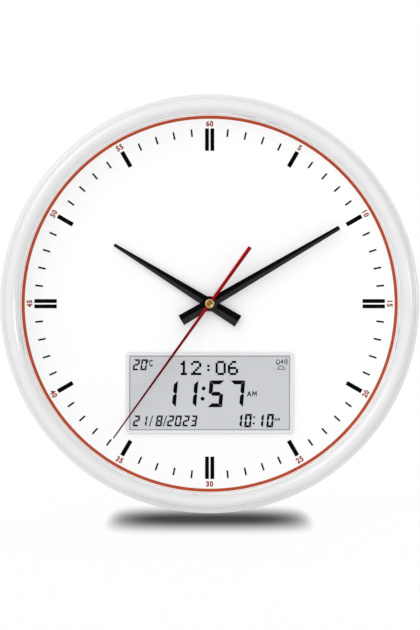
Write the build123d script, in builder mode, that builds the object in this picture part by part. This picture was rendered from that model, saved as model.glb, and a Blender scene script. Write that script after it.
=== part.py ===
from build123d import *
from math import cos, pi, radians, sin
import os

# Round wall clock with three hands over a dial and a liquid crystal window below them.
# Millimetres. The dial faces -Y, the wall is the plane Y = 0, +Z is 12 o'clock and the hands
# turn about the Y axis. "Depth" is the distance from the wall towards the viewer.

# ---- case ----
case_radius = 160.0
case_taper = 12.0           # the rim that touches the wall is smaller than the case
rim_width = 3.5
case_depth = 31.5           # wall to the front edge of the case
case_wall = 2.4
panel_recess = 2.2          # the back panel stands clear of the wall
case_bulge = 3.5            # how far the side wall curves outwards
band_height = 4.5           # straight outer band at the front of the case
band_width = 2.2
ledge_drop = 2.5            # bezel seat below the front edge of the case
ledge_width = 5.8
ledge_thickness = 2.5
fit_gap = 0.3               # clearance between pieces that drop into each other

# ---- dial, spacer, lens and bezel ----
dial_back = 20.0
dial_thickness = 2.0
dial_gap = 1.0              # between the dial and the ledge it passes
lens_height = 13.0          # air between the dial and the lens
lens_thickness = 2.0
lens_lap = 3.1              # edge of the lens behind the lip
bezel_width = 11.6
bezel_wall = 2.0
bezel_rise = 6.8            # crown of the bezel above the lens
bezel_sag = 2.3             # from the crown down to either edge of the dome
bezel_lean = 2.3            # how far the outer wall leans in towards the dome
spacer_wall = 2.0
hook_count = 8
hook_angle = 9.0
hook_barb = 0.8
hook_height = 2.2

# ---- supports inside the case ----
post_count = 8
post_inset = 7.6            # from the corner of the back panel to the posts
post_radius = 4.0
rib_width = 1.8

# ---- wall hanger ----
keyhole_inset = 19.0        # centre of the entry hole below the top of the rim
keyhole_radius = 4.5
keyhole_slot = 4.4
keyhole_travel = 8.0
keyhole_depth = 6.5         # room behind the panel for the screw's head

# ---- liquid crystal display ----
lcd_drop = 68.4             # centre of the window below the arbor
lcd_width = 123.0
lcd_height = 57.0
trim_border = 3.0
trim_rise = 2.5
trim_corner = 3.5
trim_lip = 1.2
trim_cover = 0.9            # the trim laps over the edge of the dial opening
glass_margin = 1.1          # glass behind the lip, on each side
glass_thickness = 1.8
carrier_wall = 2.0
carrier_flange = 3.0
strip_width = 2.4

# ---- circuit board ----
board_side = 9.4            # board beyond the display carrier at its ends
board_edge = 4.4            # and above and below it
board_lower = 0.6           # centre of the board below that of the window
board_thickness = 1.6
board_depth = 12.4          # rear face of the board above the wall
board_screw_inset = 5.0
boss_radius = 3.5
screw_radius = 1.4
screw_head = 2.8
switch_size = 6.0
switch_height = 3.5
chip_radius = 9.0
chip_height = 1.8
capacitor_radius = 4.0
capacitor_height = 7.0
capacitor_pitch = 12.0
capacitor_side = 34.0       # from the middle of the board to the pair of capacitors
capacitor_rise = 15.0
crystal_radius = 1.5
crystal_length = 8.0
crystal_side = 26.0
crystal_rise = 8.0
socket_width = 12.0
socket_height = 6.0
socket_side = 45.0
socket_rise = 22.0

# ---- buttons on the back ----
button_count = 7
button_spacing = 14.0
button_inset = 11.0         # row of buttons above the lower edge of the board
button_radius = 3.5
button_stroke = 0.8
button_rise = 1.0
button_bevel = 0.5
flange_radius = 4.8
flange_thickness = 1.0
stem_radius = 2.0
slider_inset = 13.0         # from the end of the board
slider_travel = 4.0
slider_width = 4.0
slider_height = 3.0

# ---- batteries ----
cell_radius = 7.1
cell_length = 50.5
cap_radius = 2.75
cap_height = 1.2
bay_place = 88.0            # battery bay, to the side of the arbor
bay_cells = 2
bay_gap = 0.4
bay_wall = 1.8
bay_end = 3.0               # room for a contact at each end of the cells
door_thickness = 1.5
door_lap = 3.0
grip_width = 12.0           # three grooves for the thumb
grip_height = 0.8
grip_depth = 0.5
grip_pitch = 2.4
grip_inset = 8.0
contact_thickness = 0.5
contact_width = 10.0
spring_base = 3.2
spring_tip = 1.8

# ---- loudspeaker ----
speaker_drop = 45.0         # centre below the keyhole
speaker_radius = 28.5
speaker_depth = 14.0
magnet_radius = 14.0
magnet_height = 5.0
cone_neck = 9.0
gasket_thickness = 0.8
speaker_flange = 1.4
speaker_rim = 4.0
basket_wall = 1.2
grille_bars = 7
grille_pitch = 6.4
grille_slot = 3.2

# ---- quartz movement ----
movement_size = 56.0
movement_depth = 16.0
movement_wall = 1.2
plate_thickness = 1.4
window_gap = 2.0            # opening in the back panel round the movement
wheel_width = 1.0
wheel_gap = 0.2
post_reach = 23.0
bridge_top = 21.0
bush_radius = 4.0
bush_bore = 2.75
bush_length = 4.8
nut_flats = 9.6
nut_height = 2.0
washer_thickness = 0.4
washer_radius = 5.6
hour_tube = 2.55
minute_tube = 1.7
second_spindle = 0.6
arbor_gap = 0.1             # running clearance on every arbor
arbor_radius = 0.5
knob_radius = 4.5
rotor_radius = 2.8
coil_radius = 2.4
coil_length = 18.0
circuit_width = 16.0
circuit_height = 14.0
circuit_thickness = 0.8
circuit_side = 16.0         # centre of the circuit from the arbor
circuit_drop = 3.0
timing_length = 6.5         # the quartz crystal
timing_radius = 1.0
driver_radius = 3.0         # the chip under its blob of resin
bridge_margin = 2.0
post_foot = 2.0
post_high = 20.0            # pillars of the movement above and below the arbor
post_low = 8.0
knob_height = 2.4
knob_notch = 0.6
knob_notches = 8
rotor_magnet = 1.8

# ---- gear train: tooth counts, and distances between arbors ----
rotor_pinion_teeth = 6
step_wheel_teeth = 30
step_pinion_teeth = 6
second_wheel_teeth = 36
second_pinion_teeth = 6
third_wheel_teeth = 45
third_pinion_teeth = 6
centre_wheel_teeth = 48
cannon_pinion_teeth = 8
motion_wheel_teeth = 24
motion_pinion_teeth = 6
hour_wheel_teeth = 24
rotor_distance = 7.2
step_distance = 11.2
third_distance = 10.8
motion_distance = 11.4
rotor_direction = 60.0      # directions seen from the front, anticlockwise from 3 o'clock
step_direction = 90.0
third_direction = 30.0
motion_direction = 150.0
tip_ratio = 0.9             # tooth heights in modules
root_ratio = 1.15
land_ratio = 0.2            # tooth widths as shares of the pitch
wheel_ratio = 0.62
pinion_ratio = 0.42

# ---- hands: clockwise angles from 12, and lengths from the arbor ----
hour_angle = 301.7
hour_length = 85.9
hour_tail = 25.6
hour_width = 9.85
hour_point = 2.3
minute_angle = 59.6
minute_length = 115.0
minute_tail = 25.2
minute_width = 8.6
minute_point = 3.3
second_angle = 215.6
second_length = 126.5
second_tail = 53.2
second_width = 3.0
second_point = 1.0
second_ridge = 0.6
hand_ridge = 1.1            # height of the ridge along the middle of a hand
hand_pitch = 3.0            # depth from one hand to the next
hour_hand_depth = 26.0
boss_outer = 5.8
cap_outer = 3.75
cap_bevel = 0.6
collar_height = 0.2         # tubes stand this much above the hands that they carry

# ---- sizes and depths that follow from the sizes above ----
rim_radius = case_radius - case_taper
back_corner = rim_radius - case_wall
post_circle = back_corner - post_inset
keyhole_height = rim_radius - keyhole_inset
speaker_height = keyhole_height - speaker_drop
panel_inside = panel_recess + case_wall
ledge_depth = case_depth - ledge_drop
ledge_inner = case_radius - band_width - ledge_width
dial_front = dial_back + dial_thickness
lens_back = dial_front + lens_height
lens_front = lens_back + lens_thickness
bezel_outer = case_radius - band_width - fit_gap
bezel_inner = bezel_outer - bezel_width
lens_radius = bezel_inner + lens_lap
dial_radius = ledge_inner - dial_gap
trim_front = dial_front + trim_rise
glass_front = trim_front - trim_lip
glass_back = glass_front - glass_thickness
carrier_width = lcd_width + 2 * glass_margin
carrier_height = lcd_height + 2 * glass_margin
board_width = carrier_width + 2 * (carrier_flange + board_side)
board_height = carrier_height + 2 * (carrier_flange + board_edge)
board_drop = lcd_drop + board_lower
button_drop = board_drop + board_height / 2 - button_inset
slider_place = board_width / 2 - slider_inset
board_front = board_depth + board_thickness
door_inside = panel_recess + door_thickness
movement_back = dial_back - movement_depth
plate_back = dial_back - plate_thickness
movement_half = movement_size / 2
cell_room = 2 * cell_radius + 0.2 + 2 * movement_wall
cell_shelf = -movement_half + cell_room
speaker_back = panel_inside + gasket_thickness
speaker_seat = speaker_back + speaker_flange
minute_hand_depth = hour_hand_depth + hand_pitch
second_hand_depth = minute_hand_depth + hand_pitch


def facing(depth, x=0.0, z=0.0):
    """A plane parallel to the dial, its normal towards the viewer."""
    return Plane(origin=(x, -depth, z), x_dir=(1, 0, 0), z_dir=(0, -1, 0))


def rod(radius, start, end, x=0.0, z=0.0, mode=Mode.ADD):
    """A round bar from one depth to another."""
    with BuildSketch(facing(start, x, z)) as outline:
        Circle(radius)
    extrude(outline.sketch, amount=end - start, mode=mode)


def block(width, height, start, end, x=0.0, z=0.0, mode=Mode.ADD, corner=0.0):
    """A rectangular block from one depth to another, with rounded corners if asked."""
    with BuildSketch(facing(start, x, z)) as outline:
        if corner:
            RectangleRounded(width, height, corner)
        else:
            Rectangle(width, height)
    extrude(outline.sketch, amount=end - start, mode=mode)


def section(*points, height=0.0):
    """Turn a closed outline of (radius, depth) points about an axis at some height."""
    level = Plane(origin=(0, 0, height), x_dir=(1, 0, 0), z_dir=(0, 0, 1))
    with BuildSketch(level) as outline:
        Polygon(*[(radius, -depth) for radius, depth in points], align=None)
    revolve(outline.sketch, axis=Axis((0, 0, height), (0, 1, 0)))


def bulged(start, end, bulge):
    """An arc between two (radius, depth) points, bowed away from the axis."""
    middle = ((start[0] + end[0]) / 2 + bulge, -(start[1] + end[1]) / 2)
    ThreePointArc((start[0], -start[1]), middle, (end[0], -end[1]))


def line(*points):
    """Straight edges through (radius, depth) points."""
    Polyline(*[(radius, -depth) for radius, depth in points])


def around(count, circle, start=0.0):
    """Places on a circle about the arbor, as (x, z)."""
    angles = [radians(start + 360.0 * k / count) for k in range(count)]
    return [(circle * cos(a), circle * sin(a)) for a in angles]


# ======== case and bezel ========

inner_corner = case_radius - case_wall - 1.6
speaker_screw_places = [(x, speaker_height + z) for x, z in
                        around(3, speaker_radius + fit_gap + boss_radius, 270)]
with BuildPart() as rear_case:
    with BuildSketch(Plane.XY):
        with BuildLine():
            line((0, panel_recess), (rim_radius - rim_width, panel_recess),
                 (rim_radius - rim_width, 0), (rim_radius, 0))
            bulged((rim_radius, 0), (case_radius, case_depth - band_height), case_bulge)
            line((case_radius, case_depth - band_height), (case_radius, case_depth),
                 (case_radius - band_width, case_depth),
                 (case_radius - band_width, ledge_depth), (ledge_inner, ledge_depth),
                 (ledge_inner, ledge_depth - ledge_thickness),
                 (inner_corner, ledge_depth - 2 * ledge_thickness),
                 (inner_corner - 1.0, (ledge_depth + panel_inside) / 2),
                 (back_corner, panel_inside), (0, panel_inside), (0, panel_recess))
        make_face()
    revolve(axis=Axis.Y)

    # Posts that carry the dial, each with a rib out to the wall.
    for index, (x, z) in enumerate(around(post_count, post_circle, 180.0 / post_count)):
        rod(post_radius, panel_inside, dial_back, x, z)
        turn = 180.0 / post_count + 360.0 * index / post_count
        reach = back_corner - post_circle + case_bulge / 2
        plane = facing(panel_inside, x, z).rotated((0, -turn, 0))
        with BuildSketch(plane):
            with Locations((reach / 2, 0)):
                Rectangle(reach, rib_width)
        extrude(amount=(dial_back - panel_inside) * 0.8)

    # Keyhole: a closed pocket that takes the head of the wall screw.
    with BuildSketch(facing(panel_inside, 0, keyhole_height + keyhole_travel / 2)):
        pocket_width = 2 * (keyhole_radius + 0.5 + case_wall)
        RectangleRounded(pocket_width, pocket_width + keyhole_travel, keyhole_radius)
    extrude(amount=keyhole_depth)
    with BuildSketch(facing(panel_inside, 0, keyhole_height + keyhole_travel / 2)):
        SlotOverall(keyhole_travel + 2 * keyhole_radius + 1, 2 * keyhole_radius + 1, rotation=90)
    extrude(amount=keyhole_depth - case_wall / 2, mode=Mode.SUBTRACT)
    rod(keyhole_radius, 0, panel_inside, 0, keyhole_height, mode=Mode.SUBTRACT)
    with BuildSketch(facing(0, 0, keyhole_height + keyhole_travel / 2)):
        SlotOverall(keyhole_travel + keyhole_slot, keyhole_slot, rotation=90)
    extrude(amount=panel_inside, mode=Mode.SUBTRACT)

    # Window for the movement, with a stiffening wall round it.
    window = movement_size + 2 * window_gap
    wall_end = panel_inside + 4.0
    block(window + 2 * rib_width, window + 2 * rib_width, panel_inside, wall_end, corner=4.0)
    block(window, window, panel_recess, wall_end, mode=Mode.SUBTRACT, corner=2.5)

    # Loudspeaker seat and grille.
    for x, z in speaker_screw_places:
        rod(boss_radius, panel_inside, speaker_seat, x, z)
        rod(screw_radius, panel_inside, speaker_seat, x, z, mode=Mode.SUBTRACT)
    rod(speaker_radius + fit_gap + rib_width, panel_inside, speaker_seat, 0, speaker_height)
    rod(speaker_radius + fit_gap, panel_inside, speaker_seat, 0, speaker_height,
        mode=Mode.SUBTRACT)
    with BuildSketch(facing(panel_recess, 0, speaker_height)):
        for bar in range(grille_bars):
            across = (bar - (grille_bars - 1) / 2) * grille_pitch
            half = (speaker_radius**2 - across**2) ** 0.5 - 4.5
            with Locations((0, across)):
                SlotOverall(2 * half, grille_slot)
    extrude(amount=case_wall, mode=Mode.SUBTRACT)

    # Battery bay: a deep tray behind a rebate for its door.
    bay_width = bay_cells * (2 * cell_radius + bay_gap) + bay_gap
    bay_length = cell_length + 2 * bay_end
    bay_floor = door_inside + 2 * cell_radius + bay_gap
    block(bay_width + 2 * bay_wall, bay_length + 2 * bay_wall, panel_inside,
          dial_back - fit_gap, -bay_place)
    block(bay_width, bay_length, panel_recess, bay_floor, -bay_place, mode=Mode.SUBTRACT)
    block(bay_width + 2 * door_lap, bay_length + 2 * door_lap, panel_recess, door_inside,
          -bay_place, mode=Mode.SUBTRACT)

    # Holes for the buttons and a slot for the slide switch.
    for index in range(button_count):
        place = (index - (button_count - 1) / 2) * button_spacing
        rod(button_radius + fit_gap, panel_recess, panel_inside, place, -button_drop,
            mode=Mode.SUBTRACT)
    block(slider_travel + slider_width + 2 * fit_gap, slider_height + 2 * fit_gap, panel_recess,
          panel_inside, slider_place, -button_drop, mode=Mode.SUBTRACT)
rear_case.part.label = "rear_case"

pocket = lens_radius + fit_gap
web = pocket + bezel_wall
dome_crown = lens_front + bezel_rise
dome_edge = dome_crown - bezel_sag
dome_outer = bezel_outer - bezel_lean
dome_inner = bezel_inner + 0.5
with BuildPart() as front_bezel:
    with BuildSketch(Plane.XY):
        with BuildLine():
            line((bezel_outer, ledge_depth), (bezel_outer, case_depth), (dome_outer, dome_edge))
            ThreePointArc((dome_outer, -dome_edge), ((dome_outer + dome_inner) / 2, -dome_crown),
                          (dome_inner, -dome_edge))
            line((dome_inner, dome_edge), (bezel_inner, dome_edge - 0.5),
                 (bezel_inner, lens_front), (pocket, lens_front), (pocket, lens_back - 1.5),
                 (web, lens_back - 1.5), (web, dome_edge - bezel_wall),
                 (dome_outer - bezel_wall, dome_edge - bezel_wall),
                 (bezel_outer - bezel_wall, case_depth), (bezel_outer - bezel_wall, ledge_depth),
                 (bezel_outer, ledge_depth))
        make_face()
    revolve(axis=Axis.Y)
    # Hooks that reach down past the ledge and catch under it.
    hook_slope = hook_barb * ledge_thickness / (inner_corner - ledge_inner)
    hook_end = ledge_depth - ledge_thickness - hook_slope - fit_gap - hook_height
    for index in range(hook_count):
        plane = Plane.XY.rotated((0, 360.0 * index / hook_count, 0))
        with BuildSketch(plane):
            Polygon((pocket, -lens_back + 1.5), (web, -lens_back + 1.5),
                    (web, -(hook_end + hook_height)),
                    (ledge_inner + hook_barb, -(hook_end + hook_height)),
                    (ledge_inner + hook_barb, -(hook_end + 1.0)), (web, -hook_end),
                    (pocket, -hook_end), align=None)
        revolve(axis=Axis.Y, revolution_arc=hook_angle)
front_bezel.part.label = "front_bezel"

with BuildPart() as lens:
    rod(lens_radius, lens_back, lens_front)
lens.part.label = "lens"

with BuildPart() as spacer_ring:
    section((bezel_inner + fit_gap, dial_front), (bezel_inner + fit_gap + spacer_wall, dial_front),
            (bezel_inner + fit_gap + spacer_wall, lens_back), (bezel_inner + fit_gap, lens_back))
spacer_ring.part.label = "spacer_ring"

# ======== dial and liquid crystal display ========

trim_width = lcd_width + 2 * trim_border
trim_height = lcd_height + 2 * trim_border
skirt_width = trim_width - 2 * trim_cover - 2 * fit_gap
skirt_height = trim_height - 2 * trim_cover - 2 * fit_gap
screw_places = [(sx * (board_width / 2 - board_screw_inset),
                 -board_drop + sz * (board_height / 2 - board_screw_inset))
                for sx in (-1, 1) for sz in (-1, 1)]
with BuildPart() as dial_plate:
    rod(dial_radius, dial_back, dial_front)
    rod(bush_radius + fit_gap, dial_back, dial_front, mode=Mode.SUBTRACT)
    block(trim_width - 2 * trim_cover, trim_height - 2 * trim_cover, dial_back, dial_front,
          0, -lcd_drop, mode=Mode.SUBTRACT)
    for x, z in screw_places:
        rod(boss_radius, board_front, dial_back, x, z)
        rod(screw_radius, board_front, dial_back - 0.5, x, z, mode=Mode.SUBTRACT)
dial_plate.part.label = "dial_plate"

with BuildPart() as lcd_trim:
    block(trim_width, trim_height, dial_front, trim_front, 0, -lcd_drop, corner=trim_corner)
    block(skirt_width, skirt_height, dial_back, dial_front, 0, -lcd_drop)
    block(lcd_width, lcd_height, glass_front, trim_front, 0, -lcd_drop, mode=Mode.SUBTRACT,
          corner=0.8)
    block(lcd_width + 2 * glass_margin + 2 * fit_gap, lcd_height + 2 * glass_margin + 2 * fit_gap,
          dial_back, glass_front, 0, -lcd_drop, mode=Mode.SUBTRACT)
    chamfer(lcd_trim.faces().filter_by(Axis.Y).sort_by(Axis.Y)[0].outer_wire().edges(), 0.6)
lcd_trim.part.label = "lcd_trim"

with BuildPart() as lcd_glass:
    block(lcd_width + 2 * glass_margin, lcd_height + 2 * glass_margin, glass_back, glass_front,
          0, -lcd_drop)
lcd_glass.part.label = "lcd_glass"

with BuildPart() as lcd_carrier:
    block(carrier_width + 2 * carrier_flange, carrier_height + 2 * carrier_flange, board_front,
          dial_back, 0, -lcd_drop)
    block(carrier_width, carrier_height, dial_back, glass_back, 0, -lcd_drop)
    block(carrier_width - 2 * carrier_wall, carrier_height - 2 * carrier_wall, board_front,
          glass_back, 0, -lcd_drop, mode=Mode.SUBTRACT)
lcd_carrier.part.label = "lcd_carrier"

strip_reach = carrier_height / 2 - carrier_wall - strip_width / 2 - fit_gap
with BuildPart() as zebra_strips:
    for side in (-1, 1):
        block(carrier_width - 2 * carrier_wall - 8.0, strip_width, board_front, glass_back,
              0, -lcd_drop + side * strip_reach)
zebra_strips.part.label = "zebra_strips"

# ======== circuit board and what the buttons press ========

with BuildPart() as main_board:
    block(board_width, board_height, board_depth, board_front, 0, -board_drop)
    for x, z in screw_places:
        rod(screw_radius + fit_gap, board_depth, board_front, x, z, mode=Mode.SUBTRACT)
main_board.part.label = "main_board"

with BuildPart() as board_screws:
    for x, z in screw_places:
        rod(screw_head, board_depth - 1.6, board_depth, x, z)
        rod(screw_radius, board_depth, dial_back - 1.5, x, z)
board_screws.part.label = "board_screws"

switch_top = board_depth - switch_height
button_places = [(index - (button_count - 1) / 2) * button_spacing
                 for index in range(button_count)]
with BuildPart() as tact_switches:
    for place in button_places:
        block(switch_size, switch_size, switch_top, board_depth, place, -button_drop)
tact_switches.part.label = "tact_switches"

with BuildPart() as slide_switch:
    block(3 * slider_width, 2 * slider_height, switch_top, board_depth, slider_place,
          -button_drop)
slide_switch.part.label = "slide_switch"

with BuildPart() as board_parts:
    section((0, board_depth), (0, board_depth - chip_height),
            (chip_radius * 0.6, board_depth - chip_height * 0.84),
            (chip_radius * 0.9, board_depth - chip_height * 0.45), (chip_radius, board_depth),
            height=-board_drop)
    for side in (-1, 1):
        rod(capacitor_radius, board_depth - capacitor_height, board_depth,
            -capacitor_side + side * capacitor_pitch / 2, -board_drop + capacitor_rise)
    block(crystal_length, 2 * crystal_radius, board_depth - 2 * crystal_radius, board_depth,
          crystal_side, -board_drop + crystal_rise)
    block(socket_width, socket_height, board_depth - socket_height, board_depth, socket_side,
          -board_drop + socket_rise)
board_parts.part.label = "board_parts"

buttons = []
for place in button_places:
    with BuildPart() as button:
        rod(button_radius, panel_recess - button_rise, panel_inside + fit_gap, place,
            -button_drop)
        rod(flange_radius, panel_inside + fit_gap, panel_inside + fit_gap + flange_thickness,
            place, -button_drop)
        rod(stem_radius, panel_inside, switch_top - button_stroke - wheel_gap, place,
            -button_drop)
        chamfer(button.faces().sort_by(Axis.Y)[-1].edges(), button_bevel)
    buttons.append(button.part)
for index, piece in enumerate(buttons):
    piece.label = f"button_{index + 1}"

with BuildPart() as slide_knob:
    left = slider_place - slider_travel / 2
    block(slider_width, slider_height, panel_recess - 0.5, panel_inside + fit_gap, left,
          -button_drop)
    block(slider_width + 4.0, slider_height + 4.0, panel_inside + fit_gap,
          panel_inside + fit_gap + flange_thickness, left, -button_drop)
    block(slider_width - 1.6, slider_height - 1.0, panel_inside + flange_thickness,
          switch_top - wheel_gap, left, -button_drop)
slide_knob.part.label = "slide_knob"

# ======== batteries behind the door ========


def cell(x, z, depth, turn):
    """A round cell lying across the case, its contact cap at one end."""
    axis_plane = facing(depth, x, z).rotated((0, -turn, 0))
    with BuildSketch(Plane(axis_plane.origin - axis_plane.x_dir * (cell_length / 2),
                           x_dir=axis_plane.z_dir, z_dir=axis_plane.x_dir)) as can:
        Circle(cell_radius)
    extrude(can.sketch, amount=cell_length - cap_height)
    with BuildSketch(Plane(axis_plane.origin + axis_plane.x_dir * (cell_length / 2 - cap_height),
                           x_dir=axis_plane.z_dir, z_dir=axis_plane.x_dir)) as cap:
        Circle(cap_radius)
    extrude(cap.sketch, amount=cap_height)


cell_axis = bay_floor - cell_radius
cell_step = 2 * cell_radius + bay_gap
cell_columns = [-bay_place + (k - (bay_cells - 1) / 2) * cell_step for k in range(bay_cells)]
with BuildPart() as bay_cells_pair:
    for index, x in enumerate(cell_columns):
        cell(x, 0, cell_axis, 90 if index % 2 == 0 else 270)
bay_cells_pair.part.label = "bay_cells"

with BuildPart() as bay_contacts:
    for end in (-1, 1):
        for index, x in enumerate(cell_columns):
            plate_z = end * (bay_length / 2 - contact_thickness / 2)
            block(contact_width, contact_thickness, door_inside + 2 * contact_thickness,
                  bay_floor, x, plate_z)
            outward = Plane(origin=(x, -cell_axis, end * (bay_length / 2 - contact_thickness)),
                            x_dir=(1, 0, 0), z_dir=(0, 0, -end))
            reach = bay_end - contact_thickness - 0.1
            with BuildSketch(outward):
                Circle(spring_base)
            with BuildSketch(outward.offset(reach)):
                Circle(spring_tip)
            loft()
bay_contacts.part.label = "bay_contacts"

door_width = bay_width + 2 * door_lap - 2 * fit_gap
door_length = bay_length + 2 * door_lap - 2 * fit_gap
with BuildPart() as battery_door:
    block(door_width, door_length, panel_recess, door_inside, -bay_place)
    for notch in (-1, 0, 1):
        block(grip_width, grip_height, panel_recess, panel_recess + grip_depth, -bay_place,
              door_length / 2 - grip_inset + notch * grip_pitch, mode=Mode.SUBTRACT)
battery_door.part.label = "battery_door"

# ======== loudspeaker ========

speaker_front = speaker_back + speaker_depth
magnet_back = speaker_front - magnet_height
cone_radius = speaker_radius - speaker_rim
with BuildPart() as speaker_basket:
    section((speaker_radius, speaker_back), (speaker_radius, speaker_seat),
            (cone_radius, speaker_seat), (magnet_radius, magnet_back),
            (cone_neck / 2, magnet_back), (cone_neck / 2, magnet_back - basket_wall),
            (magnet_radius - basket_wall, magnet_back - basket_wall),
            (cone_radius - 1.7, speaker_back + 0.6), (cone_radius, speaker_back + 0.6),
            (cone_radius, speaker_back), height=speaker_height)
speaker_basket.part.label = "speaker_basket"

with BuildPart() as speaker_magnet:
    rod(magnet_radius, magnet_back, speaker_front, 0, speaker_height)
speaker_magnet.part.label = "speaker_magnet"

with BuildPart() as speaker_cone:
    section((cone_radius - 0.1, speaker_back + 0.2), (cone_radius - 0.1, speaker_back + 0.6),
            (cone_radius - 2.1, speaker_back + 0.6), (cone_neck, speaker_back + 4.6),
            (0, speaker_back + 3.2), (0, speaker_back + 2.8), (cone_neck, speaker_back + 4.0),
            (cone_radius - 2.1, speaker_back + 0.2), height=speaker_height)
speaker_cone.part.label = "speaker_cone"

with BuildPart() as speaker_gasket:
    section((speaker_radius, panel_inside), (speaker_radius, speaker_back),
            (cone_radius, speaker_back), (cone_radius, panel_inside), height=speaker_height)
speaker_gasket.part.label = "speaker_gasket"

with BuildPart() as speaker_screws:
    for x, z in speaker_screw_places:
        rod(screw_radius, panel_inside + 0.5, speaker_seat, x, z)
        rod(boss_radius + 1.8, speaker_seat, speaker_seat + 1.4, x, z)
speaker_screws.part.label = "speaker_screws"

# ======== gear train ========


def toothed(teeth, module, phase, root_share, start, x=0.0, z=0.0):
    """A toothed disc, one tooth centred on the phase angle."""
    pitch = pi * module
    flank = [(-root_ratio, -root_share), (tip_ratio, -land_ratio),
             (tip_ratio, land_ratio), (-root_ratio, root_share)]
    points = []
    for tooth in range(teeth):
        middle = radians(phase) + 2 * pi * tooth / teeth
        for height, share in flank:
            radius = (teeth / 2 + height) * module
            angle = middle + share * pitch / 2 / radius
            points.append((radius * cos(angle), radius * sin(angle)))
    with BuildSketch(facing(start, x, z)) as outline:
        Polygon(*points, align=None)
    extrude(outline.sketch, amount=wheel_width)


def meshing(teeth, direction):
    """The phase that puts a gap of this wheel opposite its partner's tooth."""
    return direction + 180.0 + 180.0 / teeth


def polar(distance, direction, centre=(0.0, 0.0)):
    """A place at a distance and direction from another, as (x, z)."""
    angle = radians(direction)
    return centre[0] + distance * cos(angle), centre[1] + distance * sin(angle)


def layer(number):
    """Rear face of the wheels in one layer, counted back from the front plate."""
    return plate_back - (number + 1) * (wheel_width + wheel_gap)


third_module = 2 * third_distance / (second_pinion_teeth + third_wheel_teeth)
centre_module = 2 * third_distance / (third_pinion_teeth + centre_wheel_teeth)
cannon_module = 2 * motion_distance / (cannon_pinion_teeth + motion_wheel_teeth)
hour_module = 2 * motion_distance / (motion_pinion_teeth + hour_wheel_teeth)
second_module = 2 * step_distance / (step_pinion_teeth + second_wheel_teeth)
step_module = 2 * rotor_distance / (rotor_pinion_teeth + step_wheel_teeth)
third_place = polar(third_distance, third_direction)
motion_place = polar(motion_distance, motion_direction)
step_place = polar(step_distance, step_direction)
rotor_place = polar(rotor_distance, rotor_direction, step_place)
bridge_front = layer(5) - wheel_gap
bridge_back = bridge_front - wheel_width
pivot_end = plate_back + 0.8


def hand_section(angle, along, depth, half, ridge):
    """A low triangle across a hand at one place along it."""
    turn = radians(angle)
    forward = Vector(sin(turn), 0, cos(turn))
    across = Vector(cos(turn), 0, -sin(turn))
    plane = Plane(forward * along + Vector(0, -depth, 0), x_dir=across, z_dir=forward)
    with BuildSketch(plane) as outline:
        Polygon((-half, 0), (half, 0), (0, -ridge), align=None)
    return outline.sketch


def hand_blade(angle, depth, tail, length, width, point, ridge):
    """A hand that tapers from a blunt tail to its tip, with a ridge along the middle."""
    blunt = hand_section(angle, -tail, depth, width / 2, ridge)
    tip = hand_section(angle, length, depth, point / 2, ridge * 0.45)
    loft([blunt, tip], ruled=True)


# Hour hand and its wheel, on a tube through the threaded bush.
hour_end = hour_hand_depth + hand_ridge + collar_height
with BuildPart() as hour_wheel:
    toothed(hour_wheel_teeth, hour_module, meshing(hour_wheel_teeth, motion_direction - 180.0),
            wheel_ratio, layer(0))
    rod(hour_tube, layer(0), hour_end)
    rod(minute_tube + arbor_gap, layer(0), hour_end, mode=Mode.SUBTRACT)
hour_wheel.part.label = "hour_wheel"

with BuildPart() as hour_hand:
    hand_blade(hour_angle, hour_hand_depth, hour_tail, hour_length, hour_width, hour_point,
               hand_ridge)
    rod(boss_outer, hour_hand_depth, hour_hand_depth + hand_ridge)
    rod(hour_tube, hour_hand_depth, hour_hand_depth + hand_ridge, mode=Mode.SUBTRACT)
hour_hand.part.label = "hour_hand"

# Minute hand, on the tube of the centre wheel; the cannon pinion is part of that tube.
minute_end = minute_hand_depth + hand_ridge + collar_height
with BuildPart() as centre_wheel:
    toothed(centre_wheel_teeth, centre_module,
            meshing(centre_wheel_teeth, third_direction - 180.0), wheel_ratio, layer(2))
    toothed(cannon_pinion_teeth, cannon_module, motion_direction, pinion_ratio, layer(1))
    rod(minute_tube, layer(2), minute_end)
    rod(second_spindle + arbor_gap, layer(2), minute_end, mode=Mode.SUBTRACT)
centre_wheel.part.label = "centre_wheel"

with BuildPart() as minute_hand:
    hand_blade(minute_angle, minute_hand_depth, minute_tail, minute_length, minute_width,
               minute_point, hand_ridge)
    rod(boss_outer, minute_hand_depth, minute_hand_depth + hand_ridge)
    rod(minute_tube, minute_hand_depth, minute_hand_depth + hand_ridge, mode=Mode.SUBTRACT)
minute_hand.part.label = "minute_hand"

# Second hand, on the spindle of the second wheel.
second_end = second_hand_depth + 1.8
with BuildPart() as second_wheel:
    toothed(second_wheel_teeth, second_module,
            meshing(second_wheel_teeth, step_direction - 180.0), wheel_ratio, layer(4))
    toothed(second_pinion_teeth, third_module, third_direction, pinion_ratio, layer(3))
    rod(second_spindle, bridge_back, second_end)
second_wheel.part.label = "second_wheel"

with BuildPart() as second_hand:
    hand_blade(second_angle, second_hand_depth, second_tail, second_length, second_width,
               second_point, second_ridge)
    rod(cap_outer - 0.4, second_hand_depth, second_hand_depth + 0.8)
    rod(second_spindle, second_hand_depth, second_hand_depth + 0.8, mode=Mode.SUBTRACT)
second_hand.part.label = "second_hand"

with BuildPart() as second_cap:
    section((second_spindle, second_hand_depth + 0.8), (cap_outer, second_hand_depth + 0.8),
            (cap_outer, second_hand_depth + 1.5),
            (cap_outer - cap_bevel, second_hand_depth + 1.9),
            (1.6, second_hand_depth + 2.1), (second_spindle, second_hand_depth + 1.8))
second_cap.part.label = "second_cap"

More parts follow.
